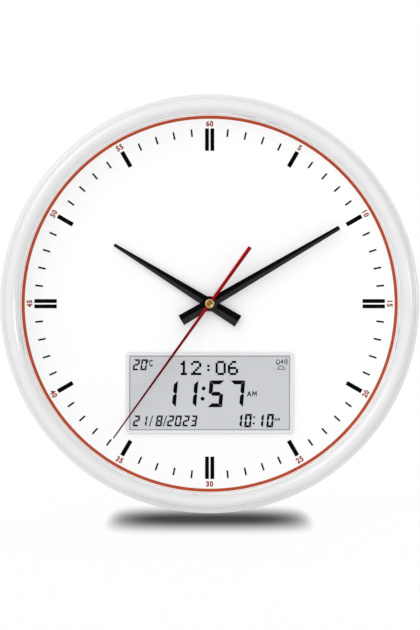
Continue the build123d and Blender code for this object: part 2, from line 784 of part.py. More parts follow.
with BuildPart() as third_wheel:
    x, z = third_place
    toothed(third_wheel_teeth, third_module, meshing(third_wheel_teeth, third_direction),
            wheel_ratio, layer(3), x, z)
    toothed(third_pinion_teeth, centre_module, third_direction + 180.0, pinion_ratio,
            layer(2), x, z)
    rod(arbor_radius, bridge_back, pivot_end, x, z)
    rod(2 * arbor_radius, layer(3), layer(2) - wheel_gap / 2, x, z)
third_wheel.part.label = "third_wheel"

with BuildPart() as motion_wheel:
    x, z = motion_place
    toothed(motion_wheel_teeth, cannon_module, meshing(motion_wheel_teeth, motion_direction),
            wheel_ratio, layer(1), x, z)
    toothed(motion_pinion_teeth, hour_module, motion_direction + 180.0, pinion_ratio,
            layer(0), x, z)
    rod(arbor_radius, layer(0), pivot_end, x, z)
    rod(1.6 * arbor_radius, movement_back - wheel_gap, layer(0), x, z)
motion_wheel.part.label = "motion_wheel"

with BuildPart() as setting_knob:
    x, z = motion_place
    knob_front = movement_back - wheel_gap
    rod(knob_radius, knob_front - knob_height, knob_front, x, z)
    for notch_x, notch_z in around(knob_notches, knob_radius + knob_notch / 3):
        rod(knob_notch, knob_front - knob_height, knob_front, x + notch_x, z + notch_z,
            mode=Mode.SUBTRACT)
setting_knob.part.label = "setting_knob"

with BuildPart() as intermediate_wheel:
    x, z = step_place
    toothed(step_wheel_teeth, step_module, meshing(step_wheel_teeth, rotor_direction - 180.0),
            wheel_ratio, layer(5), x, z)
    toothed(step_pinion_teeth, second_module, step_direction + 180.0, pinion_ratio,
            layer(4), x, z)
    rod(arbor_radius, bridge_back, pivot_end, x, z)
    rod(2 * arbor_radius, layer(5), layer(4) - wheel_gap / 2, x, z)
intermediate_wheel.part.label = "intermediate_wheel"

magnet_front = bridge_back - wheel_gap
with BuildPart() as rotor:
    x, z = rotor_place
    toothed(rotor_pinion_teeth, step_module, rotor_direction + 180.0, pinion_ratio,
            layer(5), x, z)
    rod(arbor_radius, movement_back + 0.5, pivot_end, x, z)
    rod(rotor_radius, magnet_front - rotor_magnet, magnet_front, x, z)
rotor.part.label = "rotor"

# ======== movement housing ========

pivot_places = [third_place, step_place, rotor_place, motion_place]
post_places = [(sx * post_reach, z) for sx in (-1, 1) for z in (post_high, -post_low)]
with BuildPart() as movement_front:
    block(movement_size, movement_size, plate_back, dial_back, corner=2.0)
    rod(bush_radius, dial_back, dial_back + bush_length)
    rod(bush_bore, plate_back, dial_back + bush_length, mode=Mode.SUBTRACT)
    for x, z in pivot_places:
        rod(arbor_radius + arbor_gap, plate_back, pivot_end + arbor_gap, x, z,
            mode=Mode.SUBTRACT)
    for x, z in post_places:
        rod(post_foot, bridge_front, plate_back, x, z)
movement_front.part.label = "movement_front"

with BuildPart() as movement_rear:
    room = movement_size - 2 * movement_wall
    block(movement_size, movement_size, movement_back, plate_back, corner=2.0)
    block(room, movement_half - movement_wall - cell_shelf, movement_back + movement_wall,
          plate_back, 0, (movement_half - movement_wall + cell_shelf) / 2, mode=Mode.SUBTRACT)
    block(room, cell_room - 2 * movement_wall, movement_back, plate_back, 0,
          -movement_half + cell_room / 2, mode=Mode.SUBTRACT)
    x, z = motion_place
    rod(1.6 * arbor_radius + arbor_gap, movement_back, movement_back + movement_wall, x, z,
        mode=Mode.SUBTRACT)
    x, z = rotor_place
    rod(arbor_radius + arbor_gap, movement_back + 0.5 - arbor_gap, movement_back + movement_wall,
        x, z, mode=Mode.SUBTRACT)
movement_rear.part.label = "movement_rear"

with BuildPart() as movement_bridge:
    bridge_foot = cell_shelf + fit_gap
    block(2 * (post_reach + bridge_margin), bridge_top - bridge_foot, bridge_back, bridge_front,
          0, (bridge_top + bridge_foot) / 2)
    rod(second_spindle + arbor_gap, bridge_back, bridge_front, mode=Mode.SUBTRACT)
    for x, z in (third_place, step_place):
        rod(arbor_radius + arbor_gap, bridge_back, bridge_front, x, z, mode=Mode.SUBTRACT)
    x, z = motion_place
    rod(1.6 * arbor_radius + arbor_gap, bridge_back, bridge_front, x, z, mode=Mode.SUBTRACT)
    x, z = rotor_place
    rod(1.7, bridge_back, bridge_front, x, z, mode=Mode.SUBTRACT)
movement_bridge.part.label = "movement_bridge"

stator_back = bridge_back - wheel_width
coil_height = movement_half - movement_wall - coil_radius - 0.4
with BuildPart() as stator:
    x, z = rotor_place
    block(coil_length + 4.0, 2 * rotor_radius + 2.4, stator_back, bridge_back, x, z)
    for side in (-1, 1):
        top = coil_height + 1.0
        bottom = z - rotor_radius - 1.2
        block(3.0, top - bottom, stator_back, bridge_back, x + side * (coil_length / 2 + 1.5),
              (top + bottom) / 2)
    rod(rotor_radius + 0.4, stator_back, bridge_back, x, z, mode=Mode.SUBTRACT)
stator.part.label = "stator"

with BuildPart() as coil:
    with BuildSketch(Plane(origin=(rotor_place[0] - coil_length / 2, -(stator_back + 0.5),
                                   coil_height), x_dir=(0, 0, 1), z_dir=(1, 0, 0))):
        Circle(coil_radius)
    extrude(amount=coil_length)
coil.part.label = "coil"

with BuildPart() as movement_circuit:
    circuit_back = bridge_back - circuit_thickness
    block(circuit_width, circuit_height, circuit_back, bridge_back, circuit_side, -circuit_drop)
    block(timing_length, 2 * timing_radius, circuit_back - 2 * timing_radius, circuit_back,
          circuit_side, circuit_height / 4 - circuit_drop)
    rod(driver_radius, circuit_back - timing_radius, circuit_back, circuit_side,
        -circuit_drop - circuit_height / 5)
movement_circuit.part.label = "movement_circuit"

clock_cell_height = -movement_half + cell_room / 2
clock_cell_axis = plate_back - cell_radius
with BuildPart() as clock_cell:
    cell(0, clock_cell_height, clock_cell_axis, 0)
clock_cell.part.label = "clock_cell"

clock_contact_reach = movement_half - movement_wall - cell_length / 2
with BuildPart() as clock_contacts:
    for side in (-1, 1):
        block(clock_contact_reach - 0.1, 6.0, clock_cell_axis - 3.0, clock_cell_axis + 3.0,
              side * (cell_length / 2 + 0.1 + (clock_contact_reach - 0.1) / 2),
              clock_cell_height)
clock_contacts.part.label = "clock_contacts"

with BuildPart() as hex_nut:
    with BuildSketch(facing(dial_front + washer_thickness)):
        RegularPolygon(nut_flats / 2, 6, major_radius=False)
    extrude(amount=nut_height)
    rod(bush_radius, dial_front, dial_back + bush_length, mode=Mode.SUBTRACT)
hex_nut.part.label = "hex_nut"

with BuildPart() as bush_washer:
    rod(washer_radius, dial_front, dial_front + washer_thickness)
    rod(bush_radius, dial_front, dial_front + washer_thickness, mode=Mode.SUBTRACT)
bush_washer.part.label = "bush_washer"

# ======== write one file per piece ========

pieces = [rear_case, front_bezel, lens, spacer_ring, dial_plate, lcd_trim, lcd_glass,
          lcd_carrier, zebra_strips, main_board, board_screws, tact_switches, slide_switch,
          board_parts, slide_knob, bay_cells_pair, bay_contacts, battery_door,
          speaker_basket, speaker_magnet, speaker_cone, speaker_gasket, speaker_screws,
          hour_wheel, hour_hand, centre_wheel, minute_hand, second_wheel, second_hand,
          second_cap, third_wheel, motion_wheel, setting_knob, intermediate_wheel, rotor,
          movement_front, movement_rear, movement_bridge, stator, coil, movement_circuit,
          clock_cell, clock_contacts, hex_nut, bush_washer]
os.makedirs("parts", exist_ok=True)
for part in [piece.part for piece in pieces] + buttons:
    export_step(part, f"parts/{part.label}.step")
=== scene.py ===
"""Looks of a round wall clock: three hands over a printed dial, and a liquid crystal window."""
from math import cos, pi, radians, sin, tan

import bpy
import numpy as np
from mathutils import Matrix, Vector


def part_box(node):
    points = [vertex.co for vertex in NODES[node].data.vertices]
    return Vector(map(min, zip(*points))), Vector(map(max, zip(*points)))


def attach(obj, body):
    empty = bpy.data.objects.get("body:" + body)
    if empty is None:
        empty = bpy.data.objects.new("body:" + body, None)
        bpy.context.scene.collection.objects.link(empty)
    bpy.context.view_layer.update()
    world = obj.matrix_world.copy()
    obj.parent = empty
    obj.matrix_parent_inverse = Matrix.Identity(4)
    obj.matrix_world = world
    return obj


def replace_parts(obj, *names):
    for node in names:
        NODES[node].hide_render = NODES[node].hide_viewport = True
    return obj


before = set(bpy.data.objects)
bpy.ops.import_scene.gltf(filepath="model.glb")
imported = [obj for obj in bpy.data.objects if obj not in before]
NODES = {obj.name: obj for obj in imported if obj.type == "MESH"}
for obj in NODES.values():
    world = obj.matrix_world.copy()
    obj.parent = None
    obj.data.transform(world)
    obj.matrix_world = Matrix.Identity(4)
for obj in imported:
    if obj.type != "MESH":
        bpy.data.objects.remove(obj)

bl_info = {
    "name": "Round wall clock",
    "version": (1, 0, 0),
    "blender": (4, 5, 0),
    "location": "View3D > Sidebar > Clock",
    "description": "Dresses a round wall clock with hands and a liquid crystal window",
    "category": "Object",
}

MM = 0.001
PRINT = 0.04 * MM           # thickness of printed ink
FILM = 0.05 * MM            # thickness of the display's polarising film
PINHOLE = 0.02 * MM         # radius that stands for zero in what is turned solid
FULL_TURN = 2 * pi
HOUR_ANGLE, MINUTE_ANGLE, SECOND_ANGLE = 301.7, 59.6, 215.6     # degrees clockwise from 12


def front_of(node):
    """How far a node reaches from the wall towards the viewer."""
    return -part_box(node)[0].y


def back_of(node):
    """How far the rear of a node is from the wall."""
    return -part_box(node)[1].y


def middle_of(node):
    """The middle of a node along X and along Z."""
    low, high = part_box(node)
    return (low.x + high.x) / 2, (low.z + high.z) / 2


def half_width(node):
    """Half the width of a node along X, which is the radius of a round one."""
    low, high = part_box(node)
    return (high.x - low.x) / 2


# ======== sizes and colours that a user would change ========


def length(name, description, default):
    """A size in millimetres of the real clock, kept in metres."""
    return bpy.props.FloatProperty(
        name=name, description=description, default=default * MM, unit="LENGTH", precision=5)


def colour(name, description, red, green, blue):
    """A colour as it looks on a screen, from 0 to 255 a channel."""
    return bpy.props.FloatVectorProperty(
        name=name, description=description, default=(red / 255, green / 255, blue / 255),
        subtype="COLOR_GAMMA", size=3, min=0, max=1)


class ClockPrint(bpy.types.PropertyGroup):
    """Sizes of what is printed on the dial."""

    ring_radius: length("Ring radius", "Middle of the coloured ring", 143.0)
    ring_width: length("Ring width", "Width of the coloured ring", 2.4)
    tick_end: length("Tick end", "Outer end of every tick and bar", 134.4)
    tick_length: length("Tick length", "Length of a minute tick", 5.9)
    tick_width: length("Tick width", "Width of a minute tick", 1.36)
    bar_length: length("Bar length", "Length of a single hour bar", 13.2)
    bar_width: length("Bar width", "Width of a single hour bar", 3.3)
    double_length: length("Double bar length", "Length of the bars at 12, 3, 6 and 9", 17.2)
    double_width: length("Double bar width", "Width of each bar of a pair", 2.95)
    double_pitch: length("Double bar pitch", "Between the middles of two bars of a pair", 4.1)
    numeral_radius: length("Numeral radius", "Middle of the minute numerals", 138.1)
    numeral_height: length("Numeral height", "Height of the minute numerals", 4.45)


class ClockDisplay(bpy.types.PropertyGroup):
    """Sizes of what the liquid crystal window shows, from the middle of the window."""

    slant: bpy.props.FloatProperty(
        name="Slant", description="How far the small digits lean to the right",
        default=radians(8), unit="ROTATION")
    time_slant: bpy.props.FloatProperty(
        name="Time slant", description="How far the large digits lean to the right",
        default=radians(5), unit="ROTATION")
    time_height: length("Time height", "Height of the large digits", 20.5)
    time_width: length("Time width", "Width of a large digit", 11.2)
    time_stroke: length("Time stroke", "Stroke of the large digits", 3.0)
    time_base: length("Time base", "Foot of the large digits", -10.9)
    small_height: length("Small height", "Height of the date and temperature", 8.4)
    small_width: length("Small width", "Width of a small digit", 4.7)
    small_stroke: length("Small stroke", "Stroke of the small digits", 1.35)
    dot_pitch: length("Dot pitch", "From one dot of the message line to the next", 1.53)


class ClockColours(bpy.types.PropertyGroup):
    """Colours of the clock's finishes."""

    case: colour("Case", "Moulded case and bezel", 229, 229, 230)
    dial: colour("Dial", "Printed dial", 253, 253, 253)
    ring: colour("Ring", "Coloured ring of the dial", 181, 78, 50)
    numeral: colour("Numerals", "Minute numerals", 146, 52, 26)
    ink: colour("Ink", "Ticks and bars", 4, 4, 4)
    hand: colour("Hands", "Upper facets of the hour and minute hand", 4, 4, 4)
    # The paler grey of the lower facets is painted light, standing in for the light those facets
    # catch.
    facet: colour("Facets", "Lower facets of the hour and minute hand", 47, 46, 47)
    second: colour("Second hand", "Sweep hand", 170, 14, 27)
    brass: colour("Brass", "Cap on the arbor", 214, 192, 136)
    display: colour("Display", "Bare face of the display", 203, 205, 209)
    segment: colour("Segments", "Dark segments of the display", 5, 6, 8)


# ======== shader maths ========


def linear(value):
    """Screen colour to scene colour: the inverse of the usual sRGB curve."""
    value = np.asarray(value, float)
    low, high = value / 12.92, ((value + 0.055) / 1.055) ** 2.4
    return (*np.where(value <= 0.04045, low, high).tolist(), 1.0)


def arithmetic(operation, swapped=False):
    """A method that adds a Math node on a socket and another value."""

    def method(self, other):
        values = (other, self) if swapped else (self, other)
        return self.nodes.math(operation, *values)

    return method


class Wire:
    """A socket of a material's nodes. Arithmetic on it adds Math nodes."""

    def __init__(self, nodes, socket):
        self.nodes, self.socket = nodes, socket

    __add__ = __radd__ = arithmetic("ADD")
    __mul__ = __rmul__ = arithmetic("MULTIPLY")
    __sub__, __rsub__ = arithmetic("SUBTRACT"), arithmetic("SUBTRACT", swapped=True)
    __truediv__, __pow__ = arithmetic("DIVIDE"), arithmetic("POWER")
    __gt__ = arithmetic("GREATER_THAN")

    def smooth(self, low, high):
        """0 below one value, 1 above another and an S-curve between them."""
        ramp = {"interpolation_type": "SMOOTHSTEP"}
        return self.nodes.node("MapRange", ramp, {"Value": self, 1: low, 2: high})["Result"]

    def wave(self):
        """(1 + sin) / 2 of an angle, so that it goes from 0 to 1."""
        return self.nodes.math("SINE", self) * 0.5 + 0.5


class Nodes:
    """A node tree of the world or of a material."""

    def __init__(self, tree):
        self.tree = tree

    def node(self, kind, settings, inputs):
        """Any other node: its settings first, then its sockets. Gives its outputs by name."""
        made = self.tree.nodes.new("ShaderNode" + kind)
        for name, value in settings.items():
            setattr(made, name, value)
        for name, value in inputs.items():
            if isinstance(value, Wire):
                self.join(value, made.inputs[name])
            else:
                made.inputs[name].default_value = value
        return {out.name: Wire(self, out) for out in made.outputs if out.enabled}

    def join(self, wire, socket):
        """Link a value to a socket."""
        self.tree.links.new(wire.socket, socket)

    def math(self, operation, *values):
        """A Math node on sockets and numbers."""
        return self.node("Math", {"operation": operation}, dict(enumerate(values)))["Value"]

    def blend(self, share, first, second):
        """One colour where the share is 0 and another where it is 1."""
        inputs = {0: share, 6: first, 7: second}
        return self.node("Mix", {"data_type": "RGBA"}, inputs)["Result"]

    def seen(self):
        """1 for rays from the camera, from a mirror and through glass, and 0 for soft light."""
        path = self.node("LightPath", {}, {})
        mirror = self.math("MAXIMUM", path["Is Glossy Ray"], path["Is Transmission Ray"])
        return self.math("MAXIMUM", mirror, path["Is Camera Ray"])


class Finish(Nodes):
    """A procedural material: a Principled shader and the nodes that feed it."""

    def __init__(self, name, constants=()):
        self.material = bpy.data.materials.new(name)
        self.material.use_nodes = True
        super().__init__(self.material.node_tree)
        self.shader = self.tree.nodes["Principled BSDF"]
        for socket, value in dict(constants).items():
            self.shader.inputs[socket].default_value = value

    def spot(self):
        """Object coordinates, in metres."""
        return self.node("TexCoord", {}, {})["Object"]

    def places(self):
        """Object coordinates as three numbers."""
        parts = self.node("SeparateXYZ", {}, {"Vector": self.spot()})
        return parts["X"], parts["Y"], parts["Z"]

    def stretched(self, x=1.0, y=1.0, z=1.0):
        """Object coordinates scaled along each axis."""
        return self.node("Mapping", {}, {"Vector": self.spot(), "Scale": (x, y, z)})["Vector"]

    def noise(self, size, detail=2.0, vector=None):
        """Noise from 0 to 1, with blotches of a size in metres."""
        inputs = {"Vector": vector or self.stretched(), "Scale": 1 / size, "Detail": detail}
        return self.node("TexNoise", {}, inputs)["Fac"]

    def feed(self, socket, wire):
        """Link a value to a socket of the shader."""
        self.join(wire, self.shader.inputs[socket])

    def shaded(self, mask, shade, low, high):
        """From low times a colour, where the mask is 0, to high times it where it is 1."""
        shade = np.asarray(shade, float)
        first, second = (linear(np.minimum(shade * factor, 1)) for factor in (low, high))
        return self.blend(mask, first, second)

    def tone(self, shade, spread, size=20 * MM):
        """Base colour that drifts a little, lighter and darker, over the surface."""
        self.feed("Base Color", self.shaded(self.noise(size), shade, 1 - spread, 1 + spread))

    def rough(self, low, high, size=6 * MM):
        """Roughness that wanders between two values."""
        self.feed("Roughness", self.noise(size, 3.0) * (high - low) + low)

    def bump(self, height, depth):
        """Relief of a depth in metres, where the height goes from 0 to 1."""
        inputs = {"Height": height, "Distance": depth, "Strength": 1.0}
        self.feed("Normal", self.node("Bump", {}, inputs)["Normal"])


# ======== finishes ========


def moulded(name, shade, rough=0.32, grain=0.35 * MM, depth=0.006 * MM):
    """Moulded plastic: faint drift of tone, and the fine grain that the mould leaves."""
    finish = Finish(name)
    finish.tone(shade, 0.012)
    finish.rough(rough - 0.04, rough + 0.05)
    finish.bump(finish.noise(grain, 4.0), depth)
    return finish.material


def glossy(name, shade, rough=0.16, coat=0.5):
    """Polished plastic: a long soft ripple under a clear gloss."""
    finish = Finish(name, {"Coat Weight": coat, "Coat Roughness": 0.06})
    finish.tone(shade, 0.008, 35 * MM)
    finish.rough(rough - 0.03, rough + 0.04, 10 * MM)
    finish.bump(finish.noise(5 * MM, 1.0), 0.01 * MM)
    return finish.material


def paper_white(name, shade):
    """Printed card: flat white with a faint tooth."""
    finish = Finish(name)
    finish.tone(shade, 0.004, 50 * MM)
    finish.rough(0.5, 0.62, 4 * MM)
    finish.bump(finish.noise(0.5 * MM, 3.0), 0.004 * MM)
    return finish.material


def ink(name, shade, rough=0.5):
    """Screen-printed ink, matt and a little uneven in tone."""
    finish = Finish(name, {"Specular IOR Level": 0.01})
    finish.tone(shade, 0.05, 3 * MM)
    finish.rough(rough - 0.05, rough + 0.08, 2 * MM)
    finish.bump(finish.noise(0.25 * MM, 2.0), 0.003 * MM)
    return finish.material


def faceted(name, shade, lower, angle, side, deepen=0.0):
    """Satin paint of a hand whose two facets, either side of its ridge, differ in tone as painted
    light.

    The paint may deepen towards the point of the hand.
    """
    finish = Finish(name, {"Specular IOR Level": 0.01})
    x, _, z = finish.places()
    across = (x * cos(angle) - z * sin(angle)) * side
    # Painted light: 1 on the lower of the two facets, which takes the paler colour.
    facet = across.smooth(-0.05 * MM, 0.05 * MM)
    drift = finish.noise(4 * MM, 3.0)
    # One side keeps the darker colour and the other takes the paler one, which stands in for the
    # light it catches: painted light.
    paint = finish.blend(
        facet, finish.shaded(drift, shade, 0.8, 1), finish.shaded(drift, lower, 0.94, 1))
    along = (x * sin(angle) + z * cos(angle)).smooth(-10 * MM, 75 * MM)
    finish.feed("Base Color", finish.blend(along * deepen, paint, (0, 0, 0, 1)))
    finish.rough(0.3, 0.38, 3 * MM)
    finish.bump(finish.noise(0.4 * MM, 3.0), 0.002 * MM)
    return finish.material


def brushed(name, shade, rough=0.3):
    """Rolled or brushed metal: fine streaks along Z."""
    finish = Finish(name, {"Metallic": 1.0})
    streaks = finish.noise(2 * MM, 5.0, finish.stretched(1.0, 1.0, 12.0))
    finish.feed("Base Color", finish.shaded(streaks, shade, 0.9, 1))
    finish.feed("Roughness", streaks * 0.16 + (rough - 0.08))
    finish.bump(streaks, 0.004 * MM)
    return finish.material


def turned(name, shade):
    """Metal turned on a lathe: fine rings about the arbor, with painted reflections fanning round
    it and darkening the cone, and painted shade at the rim.
    """
    finish = Finish(name, {"Metallic": 1.0})
    x, _, z = finish.places()
    radius = (x * x + z * z) ** 0.5
    inputs = {"W": radius, "Scale": 9000.0}
    rings = finish.node("TexNoise", {"noise_dimensions": "1D"}, inputs)["Fac"]
    # Painted reflections: lighter and darker sectors fanning round the arbor.
    reflection_fan = (finish.math("ARCTAN2", z, x) * 2.0 + 0.9).wave()
    # Painted dark reflection in the cone, and painted shade at the rounded rim.
    cone = 1 - radius.smooth(2.5 * MM, 2.9 * MM)
    rim = radius.smooth(3.2 * MM, 3.6 * MM)
    painted_dark = linear(np.asarray(shade, float) * (0.7, 0.55, 0.18))
    rim_shaded = finish.blend(rim * (1 - reflection_fan * 0.4), finish.shaded(rings, shade, 0.92, 1), painted_dark)
    finish.feed("Base Color", finish.blend(cone * (reflection_fan * 0.45 + 0.55), rim_shaded, painted_dark))
    finish.feed("Roughness", rings * 0.12 + 0.22)
    finish.bump(rings, 0.005 * MM)
    return finish.material


def clear_plastic(name):
    """Clear acrylic pane: almost all of the light passes straight through."""
    tint = linear((0.32, 0.33, 0.34))
    finish = Finish(name, {"IOR": 1.49, "Base Color": tint})
    facing = finish.node("LayerWeight", {}, {"Blend": 0.5})["Facing"]
    finish.feed("Alpha", facing**4 * 0.3 + 0.006)
    finish.rough(0.03, 0.06, 30 * MM)
    return finish.material


def polariser(name, shade, low, high):
    """Face of the display: grey film, with painted shade a touch darker towards its top edge."""
    finish = Finish(name)
    # Painted shade: the film darkens a touch towards its top edge.
    film = finish.shaded(finish.places()[2].smooth(low, high), shade, 1.005, 0.985)
    grid = finish.noise(0.5 * MM, 1.0)
    lines = linear(np.asarray(shade, float) * 0.96)
    finish.feed("Base Color", finish.blend(grid * 0.25, film, lines))
    finish.rough(0.3, 0.36, 10 * MM)
    finish.bump(grid, 0.002 * MM)
    return finish.material


def striped(name, first, second, pitch):
    """Layers of two colours along X."""
    finish = Finish(name)
    wave = (finish.places()[0] * (FULL_TURN / pitch)).wave()
    mask = wave.smooth(0.35, 0.65)
    finish.feed("Base Color", finish.blend(mask, linear(first), linear(second)))
    finish.rough(0.55, 0.65, 3 * MM)
    finish.bump(wave, 0.05 * MM)
    return finish.material


def winding(name, shade, pitch):
    """Enamelled wire wound side by side along X."""
    finish = Finish(name, {"Metallic": 0.85, "Coat Weight": 0.4, "Coat Roughness": 0.2})
    wave = (finish.places()[0] * (FULL_TURN / pitch)).wave()
    finish.feed("Base Color", finish.shaded(wave, shade, 0.55, 1))
    finish.rough(0.28, 0.36, 2 * MM)
    finish.bump(wave, 0.06 * MM)
    return finish.material


def speckled(name, shade, size, spread=0.35, rough=0.8, depth=0.15 * MM):
    """Foam, ferrite or pressed paper: cells or fibres of a given size."""
    finish = Finish(name)
    cells = finish.node("TexVoronoi", {}, {"Vector": finish.stretched(), "Scale": 1 / size})
    finish.feed("Base Color", finish.shaded(cells["Distance"], shade, 1 - spread, 1 + spread))
    finish.rough(rough - 0.05, rough + 0.05, 4 * MM)
    finish.bump(cells["Distance"], depth)
    return finish.material


def circuit(name, shade):
    """Solder mask over copper tracks."""
    finish = Finish(name, {"Coat Weight": 0.3})
    brick = {"offset": 0.5, "squash": 1.0}
    inputs = {"Vector": finish.stretched(260, 0.0, 190), "Scale": 1.0, "Mortar Size": 0.12,
              "Color1": (1, 1, 1, 1), "Color2": (0.7, 0.7, 0.7, 1), "Mortar": (0, 0, 0, 1)}
    tracks = finish.node("TexBrick", brick, inputs)["Fac"]
    finish.feed("Base Color", finish.shaded(tracks, shade, 1, 1.5))
    finish.rough(0.28, 0.4, 5 * MM)
    finish.bump(tracks, 0.03 * MM)
    return finish.material


def jacket(name, low, high, axis, turned_past=None):
    """Printed sleeve of a cell: a dark body, a copper shoulder and bare steel ends.

    The cell runs from low to high along an axis, and cells past a given X lie the other way.
    """
    finish = Finish(name, {"Coat Weight": 0.4, "Coat Roughness": 0.15})
    places = finish.places()
    place = places[axis]
    if turned_past is not None:
        place = place * (1 - (places[0] > turned_past) * 2)
    foot, band, cap = low + 0.5 * MM, high - 13 * MM, high - 1.8 * MM
    shoulder = place.smooth(band, band + 0.3 * MM)
    line = place.smooth(band - 1.1 * MM, band - 0.9 * MM) - shoulder
    steel = 1 - place.smooth(foot, foot + 0.15 * MM) + place.smooth(cap, cap + 0.15 * MM)
    printed = finish.blend(shoulder, linear((0.08, 0.08, 0.09)), linear((0.72, 0.45, 0.24)))
    lined = finish.blend(line, printed, linear((0.85, 0.85, 0.86)))
    finish.feed("Base Color", finish.blend(steel, lined, linear((0.7, 0.7, 0.71))))
    finish.feed("Metallic", steel)
    finish.rough(0.26, 0.36, 3 * MM)
    finish.bump(finish.noise(1.5 * MM, 2.0), 0.01 * MM)
    return finish.material


# ======== surfaces ========


def settled(name, mesh, body, material):
    """The object of a finished mesh, in one material, riding on a body."""
    mesh.materials.clear()
    mesh.materials.append(material)
    made = bpy.data.objects.new(name, mesh)
    bpy.context.scene.collection.objects.link(made)
    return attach(made, body)


def piece(name, surface, body, material, crease=35.0):
    """One object of the clock from a surface's arrays of points and faces."""
    points, faces = surface
    mesh = bpy.data.meshes.new(name)
    mesh.from_pydata(np.asarray(points).tolist(), [], [list(face) for face in faces])
    mesh.update()
    mesh.shade_smooth()
    mesh.set_sharp_from_angle(angle=radians(crease))
    return settled(name, mesh, body, material)


def quads(rows, columns):
    """Faces of a grid of points that closes on itself both ways."""
    row, column = np.meshgrid(np.arange(rows), np.arange(columns), indexing="ij")
    row_next, column_next = (row + 1) % rows, (column + 1) % columns
    corners = (row * columns + column, row * columns + column_next,
               row_next * columns + column_next, row_next * columns + column)
    return np.stack(corners, -1).reshape(-1, 4)


def arc(centre, radius, start, end, steps=12):
    """Points of (centre + radius cos t, centre + radius sin t) for t between two angles."""
    t = np.radians(np.linspace(start, end, steps))
    return np.stack((centre[0] + radius * np.cos(t), centre[1] + radius * np.sin(t)), -1)


def bowed(start, middle, end, crown, sag, steps=41):
    """A domed rim from one radius over a middle one to another, as (radius, depth) points.

    The depth is crown - sag |s|^2.1, with s = -1, 0 and 1 at the three radii.
    """
    s = np.linspace(-1, 1, steps)
    radius = np.interp(s, (-1, 0, 1), (start, middle, end))
    return np.stack((radius, crown - sag * np.abs(s) ** 2.1), -1)


def swept(handles, steps=14):
    """A curve with four handles: sum of C(3, k) (1 - t)^(3 - k) t^k times handle k."""
    t = np.linspace(0, 1, steps)[:, None]
    a, b, c, d = np.asarray(handles, float)
    return (1 - t) ** 3 * a + 3 * (1 - t) ** 2 * t * b + 3 * (1 - t) * t**2 * c + t**3 * d


def spun(points, turn):
    """Points turned anticlockwise: (x cos t - z sin t, x sin t + z cos t)."""
    x, z = np.asarray(points, float).T
    return np.stack((x * cos(turn) - z * sin(turn), x * sin(turn) + z * cos(turn)), -1)


def turned_surface(profile, steps):
    """A closed outline of (radius r, depth d) turned about Y: (r sin a, -d, r cos a)."""
    r, d = np.asarray(profile, float).T
    area = np.sum(r * np.roll(d, -1) - np.roll(r, -1) * d)
    if area < 0:
        r, d = r[::-1], d[::-1]
    a = np.linspace(0, FULL_TURN, steps, endpoint=False)[None, :]
    x, z = r[:, None] * np.sin(a), r[:, None] * np.cos(a)
    y = np.broadcast_to(-d[:, None], x.shape)
    return np.stack((x, y, z), -1).reshape(-1, 3), quads(len(r), steps)


def stamped(outlines, back, front):
    """Flat shapes of equal point counts, (x, z) anticlockwise, given a thickness along Y."""
    outlines = np.asarray(outlines, float)
    count, corners, _ = outlines.shape
    x, z = outlines[..., 0], outlines[..., 1]
    layers = [np.stack((x, np.full_like(x, -depth), z), -1) for depth in (front, back)]
    points = np.stack(layers, 1).reshape(-1, 3)
    first = np.arange(count)[:, None] * 2 * corners
    near, far = first + np.arange(corners), first + corners + np.arange(corners)
    sides = np.stack((near, far, np.roll(far, -1, 1), np.roll(near, -1, 1)), -1).reshape(-1, 4)
    return points, [*near.tolist(), *far[:, ::-1].tolist(), *sides.tolist()]


def coil(base, tip, low, high, turns, wire, steps=110, sides=8):
    """Wire wound on a cone, closed at both ends.

    ((r + w cos q) cos p, -h - w sin q, (r + w cos q) sin p) with p = -2 pi turns t, while the
    radius r and the height h go evenly with t from one end to the other.
    """
    t = np.linspace(0, 1, steps)[:, None]
    q = np.linspace(0, FULL_TURN, sides, endpoint=False)[None, :]
    p = -FULL_TURN * turns * t
    reach = base + (tip - base) * t + wire * np.cos(q)
    height = low + wire + (high - low - 2 * wire) * t + wire * np.sin(q)
    points = np.stack((reach * np.cos(p), -height, reach * np.sin(p)), -1).reshape(-1, 3)
    ends = [list(range(sides))[::-1], list(range((steps - 1) * sides, steps * sides))]
    return points, quads(steps, sides)[:-sides].tolist() + ends


def merged(*parts):
    """Several (points, faces) as one."""
    starts = np.cumsum([0] + [len(points) for points, _ in parts])
    faces = [[int(corner) + int(start) for corner in face]
             for start, (_, some) in zip(starts, parts) for face in some]
    return np.concatenate([points for points, _ in parts]), faces


# Where the across, up and out of a piece that faces the front go when it is stood another way.
WAYS = {"up": ((1, 0, 0), (0, 1, 0), (0, 0, 1)), "down": ((1, 0, 0), (0, -1, 0), (0, 0, -1)),
        "right": ((0, 1, 0), (0, 0, 1), (1, 0, 0)), "left": ((0, 1, 0), (0, 0, -1), (-1, 0, 0))}


def stood(part, way, place):
    """A piece turned to face up, down, right or left, with its back at a place."""
    points, faces = part
    local = np.stack((points[:, 0], points[:, 2], -points[:, 1]), -1)
    return local @ np.array(WAYS[way], float) + place, faces


def contact(springy, width, height, thickness, reach):
    """A contact plate with a coil spring, or with the button that meets the cap of a cell."""
    plate = stamped(rounded(width, height, 0.9 * MM, 5)[None], 0.0, thickness)
    if springy:
        base, tip = 3.0 * MM, 1.9 * MM
        wire = min(0.32 * MM, (reach - thickness) / 5)
        turns = 3.2 if reach > 2 * MM else 1.9
        return merged(plate, coil(base, tip, thickness, reach, turns, wire))
    foot, neck, crown, corner = 2.4 * MM, 1.9 * MM, 1.2 * MM, 0.45 * MM
    button = np.concatenate((
        [(PINHOLE, thickness), (foot, thickness), (neck, (thickness + reach) / 2)],
        arc((crown, reach - corner), corner, 20, 90, 5), [(PINHOLE, reach)]))
    return merged(plate, turned_surface(button, 32))


